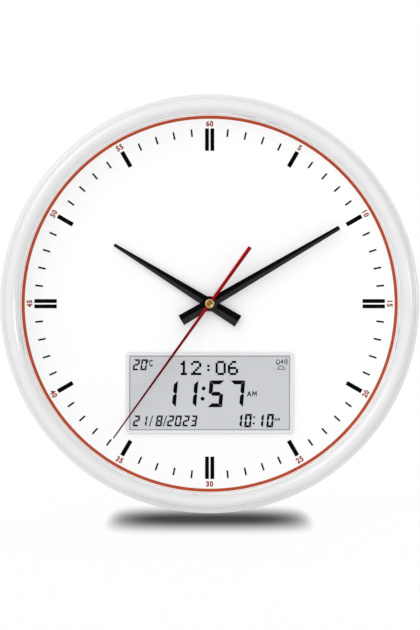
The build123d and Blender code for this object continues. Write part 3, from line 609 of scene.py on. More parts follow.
def rays(angles, inner, outer, width, shift=0.0):
    """Rectangles that point at the arbor: along (sin a, cos a), across (cos a, -sin a)."""
    a, shift = np.broadcast_arrays(np.asarray(angles, float), np.asarray(shift, float))
    along, across = np.stack((np.sin(a), np.cos(a)), -1), np.stack((np.cos(a), -np.sin(a)), -1)
    corners = [along * r + across * (shift + s * width / 2)[:, None]
               for r, s in ((inner, -1), (inner, 1), (outer, 1), (outer, -1))]
    return np.stack(corners, 1)


def rounded(width, height, corner, steps=8):
    """A rectangle with round corners: four quarter circles, anticlockwise."""
    w, h = width / 2 - corner, height / 2 - corner
    quarters = ((1, 1, 0), (-1, 1, 90), (-1, -1, 180), (1, -1, 270))
    return np.concatenate([arc((side_x * w, side_z * h), corner, start, start + 90, steps)
                           for side_x, side_z, start in quarters])


def framed(width, height, corner, profile, centre, steps=8):
    """A closed outline of (inset i, depth d) carried round a rounded rectangle."""
    profile = np.asarray(profile, float)
    plan = np.stack([rounded(width - 2 * i, height - 2 * i, max(corner - i, 0.05 * MM), steps)
                     for i, _ in profile])
    y = np.broadcast_to(-profile[:, 1, None], plan.shape[:2])
    points = np.stack((plan[..., 0] + centre[0], y, plan[..., 1] + centre[1]), -1)
    return points.reshape(-1, 3), quads(len(profile), plan.shape[1])


def lettered(name, text, height, place, turn, back, squeeze, weight, body, material, side=1):
    """A word in a plain sans face, centred on a place, stood up and turned clockwise.

    It is read from the front, or from behind where side is -1. A heavier weight widens the
    strokes, and the letters then stand a little further apart. With (u, v) from the middle of
    the word, a point is at (x + u cos t + v sin t, z - u sin t + v cos t).
    """
    curve = bpy.data.curves.new(name, "FONT")
    curve.body, curve.size, curve.resolution_u, curve.extrude = text, 1.0, 3, 0.5
    curve.align_x, curve.align_y = "CENTER", "CENTER"
    curve.offset, curve.space_character = weight, 1 + 3 * weight
    maker = bpy.data.objects.new(name + "_outline", curve)
    bpy.context.scene.collection.objects.link(maker)
    flat = bpy.data.meshes.new_from_object(maker)
    bpy.data.objects.remove(maker)
    co = np.empty(len(flat.vertices) * 3)
    flat.vertices.foreach_get("co", co)
    co = co.reshape(-1, 3)
    low, high = co.min(0), co.max(0)
    size = height / (high[1] - low[1])
    u = (co[:, 0] - (low[0] + high[0]) / 2) * size * squeeze * side
    v = (co[:, 1] - (low[1] + high[1]) / 2) * size
    x = place[0] + u * cos(turn) + v * sin(turn)
    z = place[1] - u * sin(turn) + v * cos(turn)
    y = np.where(co[:, 2] > 0, -back - side * PRINT, -back)
    flat.vertices.foreach_set("co", np.stack((x, y, z), -1).ravel())
    flat.update()
    flat.name = name
    return settled(name, flat, body, material)


def dress(material, *nodes):
    """Give CAD nodes one material, and shade their curved faces smoothly up to the creases."""
    for node in nodes:
        made = NODES[node]
        made.data.materials.clear()
        made.data.materials.append(material)
        faces = made.data.polygons
        faces.foreach_set("material_index", np.zeros(len(faces), int))
        faces.foreach_set("use_smooth", np.ones(len(faces), bool))
        made.modifiers.new("Weld", "WELD").merge_threshold = 0.002 * MM
        made.modifiers.new("Creases", "EDGE_SPLIT").split_angle = radians(32)


# ======== display characters ========

# Seven strokes of a digit: top, upper right, lower right, foot, lower left, upper left, middle.
LIT = {"0": "1111110", "1": "0110000", "2": "1101101", "3": "1111001", "4": "0110011",
       "5": "1011011", "6": "1011111", "7": "1110000", "8": "1111111", "9": "1111011"}

# Rows of the five by seven dots of a character, most significant bit to the left.
DOTS = {"0": (14, 17, 17, 17, 17, 17, 14), "1": (4, 12, 4, 4, 4, 4, 14),
        "2": (14, 17, 1, 2, 4, 8, 31), "6": (6, 8, 16, 30, 17, 17, 14),
        ":": (0, 0, 4, 0, 4, 0, 0)}


def strokes(width, height, stroke, gap):
    """The seven strokes of a digit as six-cornered outlines, anticlockwise, foot at zero.

    A stroke runs from end to end with mitred corners; those at the rim have one long side.
    """
    s, w, h, m = stroke, width, height, height / 2
    half = s / 2
    top = [(gap, h), (s + gap, h - s), (w / 2, h - s), (w - s - gap, h - s), (w - gap, h),
           (w / 2, h)]
    middle = [(half + gap, m), (s + gap, m - half), (w - s - gap, m - half), (w - half - gap, m),
              (w - s - gap, m + half), (s + gap, m + half)]
    upper = [(w, m + gap + half * 0.4), (w, h - gap), (w - s, h - s - gap),
             (w - s, m + half + gap), (w - half, m + gap), (w - half * 0.5, m + gap)]
    top, middle, upper = (np.array(shape) for shape in (top, middle, upper))

    def mirrored(shape, across, up):
        turned_over = shape.copy()
        if across:
            turned_over[:, 0] = w - turned_over[:, 0]
        if up:
            turned_over[:, 1] = h - turned_over[:, 1]
        return turned_over if across == up else turned_over[::-1]

    return np.stack([top, upper, mirrored(upper, False, True), mirrored(top, False, True),
                     mirrored(upper, True, True), mirrored(upper, True, False), middle])


def digits(text, lefts, base, width, height, stroke, slant, gap):
    """Outlines of a row of digits, each point slid right by its height times tan(slant)."""
    shape = strokes(width, height, stroke, gap)
    outlines = np.concatenate([shape[[mark == "1" for mark in LIT[digit]]] + (left, 0.0)
                               for digit, left in zip(text, lefts)])
    outlines[..., 0] += outlines[..., 1] * tan(slant)
    outlines[..., 1] += base
    return outlines


def discs(places, radius, corners=24):
    """Round dots at (x, z) places: (x + r cos t, z + r sin t)."""
    t = np.linspace(0, FULL_TURN, corners, endpoint=False)
    return np.asarray(places)[:, None, :] + radius * np.stack((np.cos(t), np.sin(t)), -1)


def dot_matrix(text, left, top, pitch, fill=1.18, between=1.15):
    """Square dots of a message line, row by row from the top.

    A dot fills its pitch and a little more, and the letters stand a column and more apart.
    """
    grid = np.array([[[row >> (4 - k) & 1 for k in range(5)] for row in DOTS[c]] for c in text])
    letter, row, column = np.nonzero(grid)
    x = left + (letter * (5 + between) + column + 0.5) * pitch
    z = top - (row + 0.5) * pitch
    half = fill * pitch / 2
    corners = np.array([(-half, -half), (half, -half), (half, half), (-half, half)])
    return np.stack((x, z), -1)[:, None, :] + corners


def bands(centre, radii, width, start, end, steps=10):
    """Open arcs of a given width, as outlines that go out along one side and back."""
    t = np.linspace(radians(start), radians(end), steps)
    t = np.concatenate((t, t[::-1]))
    side = np.concatenate((np.full(steps, width / 2), np.full(steps, -width / 2)))
    r = np.asarray(radii)[:, None] + side
    return np.stack((centre[0] + r * np.cos(t), centre[1] + r * np.sin(t)), -1)


def forenoon(height, pen):
    """The outlines of the letters A and M, centred as a word on zero.

    A leg that rises dy over dx has a vertical thickness of pen * sqrt(1 + (dy / dx)^2).
    """
    width, gap, dip = 0.84 * height, 0.16 * height, 0.2 * height
    middle = width / 2
    thick = pen * (1 + (height / middle) ** 2) ** 0.5
    foot, tip = thick * middle / height, 0.55 * pen
    legs = [(0, 0), (foot, 0), (middle, height - thick), (width - foot, 0), (width, 0),
            (middle + tip, height), (middle - tip, height)]
    low, high = 0.26 * height, 0.26 * height + pen
    inset = foot + low * middle / height - 0.4 * pen
    rung = [(inset, low), (width - inset, low), (width - inset, high), (inset, high)]
    post = [(0, 0), (pen, 0), (pen, height - 0.8 * thick), (middle, dip),
            (width - pen, height - 0.8 * thick), (width - pen, 0), (width, 0), (width, height),
            (width - 1.2 * pen, height), (middle, dip + thick), (1.2 * pen, height), (0, height)]
    left, right = (width + gap / 2, height / 2), (-gap / 2, height / 2)
    return {"a_legs": np.array(legs) - left, "a_rung": np.array(rung) - left,
            "m": np.array(post) - right}


# ======== outlines of the turned pieces, as (radius, depth) ========


def spacer_outline():
    """The ring between dial and lens: a drafted wall and a soft edge to its flat top."""
    edge, low, high = half_width("spacer_ring"), back_of("spacer_ring"), front_of("spacer_ring")
    return [(edge - 3.55 * MM, low), (edge, low), (edge, high), (edge - 2.6 * MM, high),
            (edge - 2.85 * MM, high - 0.1 * MM), (edge - 3.0 * MM, high - 0.4 * MM)]


def pane_outline():
    """The lens: a flat disc with bevelled edges."""
    edge, low, high = half_width("lens"), back_of("lens"), front_of("lens")
    bevel = 0.3 * MM
    return [(PINHOLE, low), (edge - bevel, low), (edge, low + bevel), (edge, high - bevel),
            (edge - bevel, high), (PINHOLE, high)]


def bezel_outline():
    """The bezel: a skirt that flares over the case's rim, a dome and a lip down to the lens."""
    outer, lens, flange = half_width("front_bezel"), front_of("lens"), front_of("rear_case")
    inner = half_width("lens") - 3.1 * MM
    crown = front_of("front_bezel") - 0.03 * MM
    seat, ledge, wall = flange - 2.5 * MM, lens - 3.0 * MM, 2.0 * MM
    dome = bowed(outer - 2.35 * MM, outer - 5.7 * MM, inner + 1.5 * MM, crown, 2.3 * MM)
    shoulder, brink = dome[0, 1], dome[-1, 1]
    rim = [(outer, seat), (outer, flange + 0.02 * MM), (outer + 1.2 * MM, flange + 0.02 * MM)]
    skirt = swept([(outer + 1.25 * MM, flange + 0.14 * MM),
                   (outer - 0.9 * MM, flange + 0.2 * MM),
                   (outer - 1.35 * MM, shoulder - 1.4 * MM), (outer - 2.35 * MM, shoulder)])
    lip = [(inner + 0.8 * MM, brink - 0.75 * MM), (inner + 0.25 * MM, brink - 1.4 * MM),
           (inner, brink - 2.1 * MM), (inner, lens), (inner + 3.0 * MM, lens),
           (inner + 3.4 * MM, ledge), (outer - wall, ledge), (outer - wall, seat)]
    return np.concatenate((rim, skirt[:-1], dome, lip))


def cap_outline():
    """The brass cap: a rounded edge, a conical cup and a small pip in its middle."""
    seat, top = back_of("second_cap"), front_of("second_cap")
    edge = half_width("second_cap") - 0.3 * MM
    corner, pip = 0.6 * MM, 0.3 * MM
    return np.concatenate((
        [(PINHOLE, seat), (edge, seat), (edge, top - 0.75 * MM)],
        arc((edge - corner, top - 0.62 * MM), corner, 0, 80, 8),
        [(2.85 * MM, top - 0.02 * MM), (2.65 * MM, top - 0.12 * MM),
         (0.98 * MM, top - 0.95 * MM), (0.86 * MM, top - 0.5 * MM)],
        arc((0.56 * MM, top - 0.48 * MM), pip, 0, 80, 5),
        [(PINHOLE, top - 0.14 * MM)],
    ))


# ======== contacts of the cells ========


def bay_springs():
    """A spring at one end of each cell of the bay and a button at the other."""
    low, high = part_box("bay_cells")
    radius = (high.y - low.y) / 2
    columns = low.x + radius, high.x - radius
    low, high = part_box("bay_contacts")
    middle, height = (low.y + high.y) / 2, high.y - low.y
    width, plate, reach = 10 * MM, 0.5 * MM, 2.9 * MM
    springs = []
    for x, upright in zip(columns, (False, True)):
        for way, level in (("up", low.z), ("down", high.z)):
            part = contact(upright != (way == "up"), width, height, plate, reach)
            springs.append(stood(part, way, (x, middle, level)))
    return merged(*springs)


def clock_springs():
    """A spring at the left of the movement's cell and a button at its right."""
    low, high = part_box("clock_contacts")
    middle, level, side = (low.y + high.y) / 2, (low.z + high.z) / 2, high.y - low.y
    plate, reach = 0.35 * MM, 1.4 * MM
    ends = [stood(contact(way == "right", side, side, plate, reach), way, (x, middle, level))
            for way, x in (("right", low.x), ("left", high.x))]
    return merged(*ends)


# ======== operators ========


class CLOCK_OT_case(bpy.types.Operator):
    """Finish the case and turn the bezel as one smooth ring"""

    bl_idname = "clock.case"
    bl_label = "Case and bezel"

    def execute(self, context):
        colours = context.scene.clock_colours
        dress(moulded("white_case", colours.case, 0.3, 0.6 * MM), "rear_case")
        dress(moulded("white_door", colours.case, 0.32, 0.6 * MM), "battery_door")
        spacer = piece("spacer", turned_surface(spacer_outline(), 512), "clock_body",
                       moulded("white_spacer", colours.dial, 0.18))
        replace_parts(spacer, "spacer_ring")
        pane = piece("clear_lens", turned_surface(pane_outline(), 256), "clock_body",
                     clear_plastic("clear_pane"))
        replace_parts(pane, "lens")
        bezel = piece("bezel_ring", turned_surface(bezel_outline(), 512), "clock_body",
                      glossy("white_gloss", colours.case, 0.2, 0.35), 34)
        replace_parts(bezel, "front_bezel")
        return {"FINISHED"}


class CLOCK_OT_dial(bpy.types.Operator):
    """Print the ring, the minute ticks and the hour bars on the dial"""

    bl_idname = "clock.dial"
    bl_label = "Dial print"

    def execute(self, context):
        sizes, colours = context.scene.clock_print, context.scene.clock_colours
        dress(paper_white("dial_card", colours.dial), "dial_plate")
        face = front_of("dial_plate")
        top = face + PRINT
        inner, outer = (sizes.ring_radius + side * sizes.ring_width / 2 for side in (-1, 1))
        outline = [(inner, face), (outer, face), (outer, top), (inner, top)]
        piece("dial_ring", turned_surface(outline, 512), "clock_body",
              ink("ring_ink", colours.ring))

        black = ink("black_ink", colours.ink)
        minutes = np.arange(60)
        end = sizes.tick_end
        plain = minutes[minutes % 5 != 0] * FULL_TURN / 60
        ticks = rays(plain, end - sizes.tick_length, end, sizes.tick_width)
        piece("minute_ticks", stamped(ticks, face, top), "clock_body", black)
        hours = np.arange(12)
        single = hours[hours % 3 != 0] * FULL_TURN / 12
        pairs = np.repeat(hours[hours % 3 == 0] * FULL_TURN / 12, 2)
        sides = np.tile((-sizes.double_pitch / 2, sizes.double_pitch / 2), 4)
        bars = np.concatenate((
            rays(single, end - sizes.bar_length, end, sizes.bar_width),
            rays(pairs, end - sizes.double_length, end, sizes.double_width, sides)))
        piece("hour_bars", stamped(bars, face, top), "clock_body", black)
        return {"FINISHED"}


class CLOCK_OT_numerals(bpy.types.Operator):
    """Print the minute numerals round the dial"""

    bl_idname = "clock.numerals"
    bl_label = "Minute numerals"

    def execute(self, context):
        sizes, colours = context.scene.clock_print, context.scene.clock_colours
        material = ink("numeral_ink", colours.numeral)
        face = front_of("dial_plate")
        for minute in range(5, 65, 5):
            angle = minute * FULL_TURN / 60
            place = (sizes.numeral_radius * sin(angle), sizes.numeral_radius * cos(angle))
            turn = angle + pi if 15 < minute < 45 else angle
            lettered(f"numeral_{minute}", str(minute), sizes.numeral_height, place, turn, face,
                     0.93, 0.045, "clock_body", material)
        return {"FINISHED"}


class CLOCK_OT_window(bpy.types.Operator):
    """Make the frame and the grey face of the liquid crystal window"""

    bl_idname = "clock.window"
    bl_label = "Display window"

    def execute(self, context):
        colours = context.scene.clock_colours
        low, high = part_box("lcd_trim")
        centre, width, height = middle_of("lcd_trim"), high.x - low.x, high.z - low.z
        top, seat, glass = front_of("lcd_trim"), front_of("dial_plate"), front_of("lcd_glass")
        border = 3.0 * MM
        profile = [(0.0, seat), (0.0, top - 0.9 * MM), (0.12 * MM, top - 0.45 * MM),
                   (0.42 * MM, top - 0.12 * MM), (0.9 * MM, top),
                   (border - 0.7 * MM, top), (border - 0.3 * MM, top - 0.1 * MM),
                   (border - 0.08 * MM, top - 0.35 * MM), (border, top - 0.7 * MM),
                   (border, glass + 0.01 * MM), (border - 0.4 * MM, seat)]
        frame_piece = piece("window_frame", framed(width, height, 3.5 * MM, profile, centre, 10),
                            "clock_body", glossy("white_frame", colours.case))
        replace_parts(frame_piece, "lcd_trim")
        dress(moulded("display_glass", colours.display, 0.2), "lcd_glass")

        wide, tall, slit = width - 2 * border, height - 2 * border, 0.1 * MM
        # The film's darker top edge is painted shade.
        film = polariser("polariser", colours.display, centre[1] - tall / 2, centre[1] + tall / 2)
        outline = rounded(wide - slit, tall - slit, 0.8 * MM) + centre
        piece("display_film", stamped(outline[None], glass, glass + FILM), "clock_body",
              film)
        # A painted shadow: a thin grey line round the inside of the window, where the frame's lip
        # shades the glass.
        near, far, rise = border + 0.05 * MM, border + 0.65 * MM, glass + 0.09 * MM
        edge = [(near, glass), (far, glass), (far, rise), (near, rise)]
        piece("display_edge_shadow", framed(width, height, 3.9 * MM, edge, centre, 10), "clock_body",
              ink("edge_shadow_grey", (0.6, 0.605, 0.615)))
        return {"FINISHED"}


class CLOCK_OT_segments(bpy.types.Operator):
    """Light the digits, the message line and the signs of the display

    Places are counted from the middle of the window, to the right and up."""

    bl_idname = "clock.segments"
    bl_label = "Display segments"

    def execute(self, context):
        sizes, colours = context.scene.clock_display, context.scene.clock_colours
        centre = middle_of("lcd_glass")
        face = front_of("lcd_glass") + FILM
        dark = ink("segment_dark", colours.segment, 0.4)

        def show(name, outlines):
            """Outlines in metres."""
            surface = stamped(np.asarray(outlines) + centre, face, face + PRINT)
            piece(name, surface, "clock_body", dark)

        def sign(name, outlines):
            """Outlines in millimetres."""
            show(name, np.asarray(outlines) * MM)

        large = (sizes.time_base, sizes.time_width, sizes.time_height, sizes.time_stroke,
                 sizes.time_slant, 0.12 * MM)
        small = (sizes.small_width, sizes.small_height, sizes.small_stroke, sizes.slant,
                 0.08 * MM)
        lefts = np.array((-37.2, -21.6, -1.7, 14.3)) * MM
        show("time_digits", digits("1157", lefts, *large))
        sign("time_colon", discs(((-4.6, 3.5), (-5.4, -4.4)), 1.5))
        lefts = np.array((-59.1, -53.3)) * MM
        show("temperature", digits("20", lefts, 17.4 * MM, *small))
        lefts = np.array((-59.0, -53.3, -41.6, -32.9, -27.0, -21.0, -15.1)) * MM
        show("date_digits", digits("2182023", lefts, -25.6 * MM, *small))
        lean = np.array([(0.0, 0.0), (0.85, 0.0), (3.4, 8.3), (2.55, 8.3)])
        sign("date_slashes", [lean + (-46.6, -25.6), lean + (-35.9, -25.6)])
        lefts = (19.2, 26.4, 35.6, 43.3)
        sign("alarm_digits", digits("1010", lefts, -26.4, 5.2, 10.4, 1.75, sizes.time_slant, 0.1))
        sign("alarm_colon", discs(((34.1, -18.6), (33.7, -23.3)), 0.8))
        show("message_dots", dot_matrix("12:06", -23.6 * MM, 24.5 * MM, sizes.dot_pitch))

        line, bell_x, dawn_x = 0.5, 52.3, 54.8
        horn = np.array([(0.0, -0.6), (0.7, -0.6), (1.7, -1.6), (1.7, 1.6), (0.7, 0.6), (0.0, 0.6)])
        sign("sound_horn", [horn + (54.4, 24.0)])
        sign("sound_waves", bands((56.2, 24.0), (1.5, 3.1), 0.7, -48, 48))
        sign("bell_dome", bands((bell_x, 24.3), (1.15,), line, 0, 180))
        post, foot = rounded(line, 1.6, 0.1, 2), rounded(3.6, line, 0.1, 2)
        sign("bell_sides", [post + (bell_x - 1.15, 23.5), post + (bell_x + 1.15, 23.5),
                            foot + (bell_x, 22.5)])
        sign("bell_clapper", discs([(bell_x, 21.6)], 0.5, 12))
        sign("dawn_arc", bands((dawn_x, 18.4), (2.3,), line, 8, 172))
        ground = np.array([(-3.4, -0.25), (3.4, -0.25), (3.4, 0.25), (-3.4, 0.25)])
        sign("dawn_line", [ground + (dawn_x, 18.2)])
        for name, height, pen, place in (("sign_am", 4.1, 0.62, (32.3, -0.7)),
                                         ("sign_am_small", 2.3, 0.42, (51.7, -20.3))):
            for part, outline in forenoon(height, pen).items():
                sign(f"{name}_{part}", [outline + place])
        degree = (centre[0] - 45.9 * MM, centre[1] + 23.0 * MM)
        lettered("sign_degree", "°C", 5.4 * MM, degree, 0.0, face, 0.62, 0.03, "clock_body",
                 dark)
        return {"FINISHED"}


class CLOCK_OT_hands(bpy.types.Operator):
    """Finish the hands and turn the brass cap on the arbor"""

    bl_idname = "clock.hands"
    bl_label = "Hands and cap"

    def execute(self, context):
        colours = context.scene.clock_colours
        # The lower facets take a paler colour and the sweep hand's upper side a darker red: painted
        # light on the hands.
        black, grey = colours.hand, colours.facet
        dress(faceted("hour_black", black, grey, radians(HOUR_ANGLE), -1), "hour_hand")
        dress(faceted("minute_black", black, grey, radians(MINUTE_ANGLE), 1), "minute_hand")
        red = np.asarray(colours.second)
        dress(faceted("hand_red", red * 0.84, red, radians(SECOND_ANGLE), 1, 0.6), "second_hand")
        cap = piece("brass_cap", turned_surface(cap_outline(), 96), "second_body",
                    turned("brass_turned", colours.brass), 50)
        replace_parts(cap, "second_cap")
        dress(brushed("brass_plain", colours.brass, 0.3), "hex_nut", "bush_washer")
        return {"FINISHED"}


class CLOCK_OT_rear(bpy.types.Operator):
    """Finish what shows at the back: buttons, switch, movement, cells and loudspeaker"""

    bl_idname = "clock.rear"
    bl_label = "Rear pieces"

    def execute(self, context):
        buttons = [node for node in NODES if node.startswith("button_")]
        dress(moulded("button_grey", (0.36, 0.37, 0.39), 0.42), *buttons, "slide_knob")
        dress(moulded("movement_black", (0.075, 0.075, 0.08), 0.4, 0.5 * MM, 0.02 * MM),
              "movement_rear", "movement_front")
        dress(moulded("knob_black", (0.15, 0.15, 0.155), 0.3), "setting_knob")
        low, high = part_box("clock_cell")
        dress(jacket("cell_sleeve", low.x, high.x, 0), "clock_cell")
        low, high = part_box("bay_cells")
        dress(jacket("bay_sleeve", low.z, high.z, 2, (low.x + high.x) / 2), "bay_cells")
        steel = brushed("contact_steel", (0.78, 0.78, 0.78), 0.25)
        dress(steel, "board_screws", "speaker_screws")
        for name, surface, node in (("bay_springs", bay_springs(), "bay_contacts"),
                                    ("clock_springs", clock_springs(), "clock_contacts")):
            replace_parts(piece(name, surface, "clock_body", steel), node)
        dress(brushed("basket_steel", (0.55, 0.56, 0.57), 0.4), "speaker_basket")
        dress(speckled("magnet_ferrite", (0.12, 0.12, 0.125), 0.6 * MM, 0.25), "speaker_magnet")
        dress(speckled("cone_paper", (0.13, 0.125, 0.12), 0.8 * MM, 0.2, 0.85, 0.05 * MM),
              "speaker_cone")
        dress(speckled("gasket_foam", (0.1, 0.1, 0.1), 0.5 * MM, 0.3, 0.9), "speaker_gasket")
        return {"FINISHED"}


class CLOCK_OT_marks(bpy.types.Operator):
    """Print the switch positions, and mould the signs of the cell, the knob and the door"""

    bl_idname = "clock.marks"
    bl_label = "Marks at the back"

    def execute(self, context):
        panel = back_of("battery_door")
        x, z = middle_of("slide_knob")
        grey = ink("legend_grey", (0.3, 0.3, 0.31))
        for name, word, across in (("switch_on", "ON", -2.0), ("switch_off", "OFF", 6.2)):
            place = (x + across * MM, z - 5.2 * MM)
            lettered(name, word, 2.5 * MM, place, 0.0, panel, 0.95, 0.012, "clock_body",
                     grey, -1)

        # The moulded signs are a paler grey than the black cover they stand on: a painted highlight
        # for the light that catches them.
        black = moulded("sign_highlit_grey", (0.2, 0.2, 0.205), 0.3)
        face = back_of("movement_rear")

        def mould(name, outlines):
            surface = stamped(outlines, face - 0.25 * MM, face)
            piece(name, surface, "clock_body", black, 20)

        knob, ring = middle_of("setting_knob"), half_width("setting_knob") + 2.2 * MM
        mould("setting_arrow", bands(knob, (ring,), 0.7 * MM, 20, 155, 24))
        tip = np.array([(1.3, 0.3), (-1.3, 0.3), (0.0, -2.2)]) * MM
        mould("setting_tips", [spun(tip + (side * ring, 0.0), radians(turn)) + knob
                               for side, turn in ((1, 18), (-1, -23))])

        low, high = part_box("movement_rear")
        height = high.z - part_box("clock_cell")[1].z + 1.0 * MM
        ridge = ((2.2, 0.0), (2.35, 0.3), (3.0, 0.3), (3.15, 0.0))
        profile = [(inset * MM, face - rise * MM) for inset, rise in ridge]
        surface = framed(high.x - low.x, height, 3.2 * MM, profile, (0.0, high.z - height / 2))
        piece("cover_ridge", surface, "clock_body", black, 25)

        low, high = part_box("clock_cell")
        level = high.z + 3.9 * MM
        long, thin = 1.5 * MM, 0.3 * MM
        minus = np.array([(-long, -thin), (long, -thin), (long, thin), (-long, thin)])
        quarter = np.array([(thin, -long), (thin, -thin), (long, -thin)])
        plus = np.concatenate([spun(quarter, k * pi / 2) for k in range(4)])
        mould("cell_plus", [plus + (high.x - 4 * MM, level)])
        mould("cell_minus", [minus + (low.x + 4 * MM, level)])

        x, _ = middle_of("battery_door")
        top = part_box("battery_door")[1].z
        pointer = np.array([(-3.0, 2.0), (0.0, -2.4), (3.0, 2.0)]) * MM + (x, top - 16 * MM)
        white = moulded("white_pointer", context.scene.clock_colours.case, 0.3)
        piece("door_pointer", stamped(pointer[None], panel - 0.2 * MM, panel), "door_body",
              white, 20)
        return {"FINISHED"}


class CLOCK_OT_works(bpy.types.Operator):
    """Finish the wheels, the motor and the electronics inside"""

    bl_idname = "clock.works"
    bl_label = "Works"

    def execute(self, context):
        dress(moulded("wheel_white", (0.86, 0.85, 0.8), 0.35), "third_wheel", "motion_wheel",
              "hour_wheel", "second_wheel", "intermediate_wheel")
        dress(brushed("centre_brass", (0.8, 0.68, 0.42), 0.28), "centre_wheel")
        dress(speckled("rotor_dark", (0.16, 0.16, 0.17), 0.4 * MM, 0.2, 0.5, 0.02 * MM), "rotor")
        dress(moulded("bridge_black", (0.1, 0.1, 0.1), 0.4), "movement_bridge")
        dress(brushed("stator_iron", (0.6, 0.6, 0.61), 0.35), "stator")
        dress(winding("coil_wire", (0.75, 0.38, 0.2), 0.25 * MM), "coil")
        dress(circuit("board_green", (0.07, 0.3, 0.16)), "main_board", "movement_circuit")
        dress(moulded("switch_black", (0.12, 0.12, 0.13), 0.4), "tact_switches", "slide_switch")
        dress(moulded("parts_dark", (0.13, 0.13, 0.14), 0.3), "board_parts")
        dress(moulded("carrier_white", (0.88, 0.88, 0.87), 0.45), "lcd_carrier")
        dress(striped("strip_rubber", (0.1, 0.1, 0.1), (0.75, 0.62, 0.58), 0.6 * MM),
              "zebra_strips")
        return {"FINISHED"}


# Name, strength, direction towards the lamp and spread in degrees. The last two only show as
# highlights on gloss, and the others only light.
LAMPS = (("front", 0.98, (0.0, -1.0, 0.0), 8.0), ("rear", 1.0, (0.3, 1.0, 0.5), 60.0),
         ("key", 0.25, (-0.62, -0.72, 0.86), 40.0), ("fill", 0.1, (0.8, -1.0, 0.4), 60.0),
         ("shine_left", 1.1, (-0.66, -0.42, 0.66), 46.0),
         ("shine_right", 1.1, (0.93, -0.4, 0.0), 28.0))


class CLOCK_OT_stage(bpy.types.Operator):
    """Set up the camera, the pale floor and the soft light"""

    bl_idname = "clock.stage"
    bl_label = "Stage"

    def execute(self, context):
        scene = context.scene
        scene.view_settings.view_transform = "Standard"
        flange = front_of("rear_case")
        sensor, distance, view_height = 36.0, 2.5, 481.2 * MM
        aim_x, aim_z = 0.26 * MM, -8.65 * MM
        camera = bpy.data.cameras.new("camera")
        camera.sensor_fit, camera.sensor_height, camera.sensor_width = "AUTO", sensor, sensor
        camera.lens = sensor * distance / view_height
        camera.clip_end = 60.0
        viewer = bpy.data.objects.new("camera", camera)
        viewer.location = (aim_x, -flange - distance, aim_z)
        viewer.rotation_euler = (radians(90), 0.0, 0.0)
        scene.collection.objects.link(viewer)
        scene.camera = viewer

        level, reach = -half_width("rear_case") - 0.3 * MM, 20.0
        corners = [(side_x * reach, side_y * reach, level)
                   for side_x, side_y in ((-1, -1), (1, -1), (1, 1), (-1, 1))]
        mesh = bpy.data.meshes.new("floor")
        mesh.from_pydata(corners, [], [(0, 1, 2, 3)])
        mesh.materials.append(floor_material(flange))
        floor = bpy.data.objects.new("floor", mesh)
        scene.collection.objects.link(floor)

        scene.world = studio_world()
        for name, strength, towards, spread in LAMPS:
            light = bpy.data.lights.new(name, "SUN")
            light.energy, light.angle = strength, radians(spread)
            lamp = bpy.data.objects.new(name, light)
            lamp.rotation_euler = Vector(towards).to_track_quat("Z", "Y").to_euler()
            lamp.visible_glossy = name.startswith("shine")
            lamp.visible_diffuse = not lamp.visible_glossy
            scene.collection.objects.link(lamp)
        return {"FINISHED"}


def studio_world():
    """White where it is seen. For soft light it fades with the direction d from its bright
    side b, as (1 + 0.95 d.b) of a plain level."""
    plain_level, fading = 0.506, 0.95
    world = bpy.data.worlds.new("studio")
    world.use_nodes = True
    studio = Nodes(world.node_tree)
    towards = studio.node("TexCoord", {}, {})["Generated"]
    bright = Vector((-0.48, -0.5, 0.75)).normalized()
    facing = studio.node("VectorMath", {"operation": "DOT_PRODUCT"}, {0: towards, 1: bright})
    soft = (facing["Value"] * fading + 1.0) * plain_level
    seen = studio.seen()
    background = studio.tree.nodes["Background"].inputs
    background["Color"].default_value = (1, 1, 1, 1)
    studio.join(seen + (1 - seen) * soft, background["Strength"])
    return world


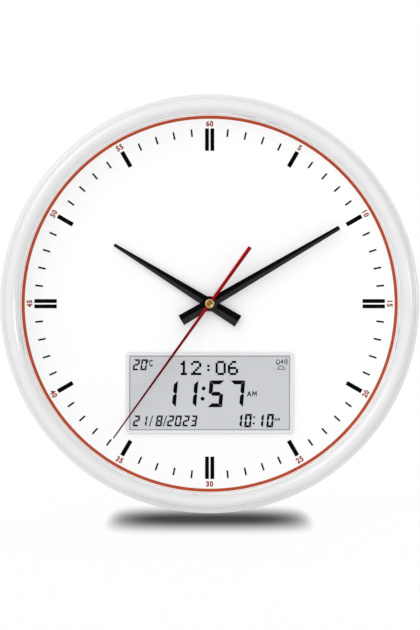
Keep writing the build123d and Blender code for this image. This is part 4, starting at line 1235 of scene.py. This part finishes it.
def floor_material(flange):
    """A white floor with a painted shadow, a soft dark patch just before the clock.

    The painted shadow is 1 - smoothstep of sqrt((u^2 + u^12)^2 / 4 + v^2), with u = x / width
    and v = y / depth from its middle. About an eighth of what is seen is the lit floor, with its
    real shadows, and the rest glows, painted shadow and all.
    """
    width, depth, ahead = 78 * MM, 197 * MM, 67 * MM
    finish = Finish("floor_white", {"Roughness": 0.6})
    x, y, _ = finish.places()
    u, v = x / width, (y + (flange + ahead)) / depth
    square = u * u
    across = (square + square**6) * 0.5
    # Painted shadow: a soft dark patch on the floor just before the clock.
    painted_shadow = 1 - ((across * across + v * v) ** 0.5).smooth(0.08, 1.0)
    shade = finish.blend(painted_shadow, (1, 1, 1, 1), linear((0.24, 0.24, 0.24)))
    finish.feed("Base Color", shade)
    seen = finish.seen()
    glow_colour = finish.blend(seen, (0.85, 0.85, 0.85, 1), shade)
    glow = finish.node("Emission", {}, {"Color": glow_colour, "Strength": 1.0})["Emission"]
    inputs = {0: 1 - seen * 0.12, 1: Wire(finish, finish.shader.outputs[0]), 2: glow}
    mixed = finish.node("MixShader", {}, inputs)["Shader"]
    finish.join(mixed, finish.tree.nodes["Material Output"].inputs["Surface"])
    return finish.material


class CLOCK_PT_panel(bpy.types.Panel):
    """Buttons that dress the clock, piece by piece"""

    bl_idname = "CLOCK_PT_panel"
    bl_label = "Clock"
    bl_space_type = "VIEW_3D"
    bl_region_type = "UI"
    bl_category = "Clock"

    def draw(self, context):
        for operator in OPERATORS:
            self.layout.operator(operator.bl_idname)
        for group in ("clock_print", "clock_display", "clock_colours"):
            settings = getattr(context.scene, group)
            for name in settings.__annotations__:
                self.layout.prop(settings, name)


OPERATORS = (CLOCK_OT_stage, CLOCK_OT_case, CLOCK_OT_dial, CLOCK_OT_numerals, CLOCK_OT_window,
             CLOCK_OT_segments, CLOCK_OT_hands, CLOCK_OT_rear, CLOCK_OT_marks, CLOCK_OT_works)
GROUPS = {"clock_print": ClockPrint, "clock_display": ClockDisplay, "clock_colours": ClockColours}


def register():
    for group, kind in GROUPS.items():
        bpy.utils.register_class(kind)
        setattr(bpy.types.Scene, group, bpy.props.PointerProperty(type=kind))
    for kind in (*OPERATORS, CLOCK_PT_panel):
        bpy.utils.register_class(kind)


def unregister():
    for kind in (CLOCK_PT_panel, *reversed(OPERATORS)):
        bpy.utils.unregister_class(kind)
    for group, kind in GROUPS.items():
        delattr(bpy.types.Scene, group)
        bpy.utils.unregister_class(kind)


def main():
    """Dress the clock."""
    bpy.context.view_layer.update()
    register()
    for operator in OPERATORS:
        group, name = operator.bl_idname.split(".")
        getattr(getattr(bpy.ops, group), name)()


if __name__ == "__main__":
    main()
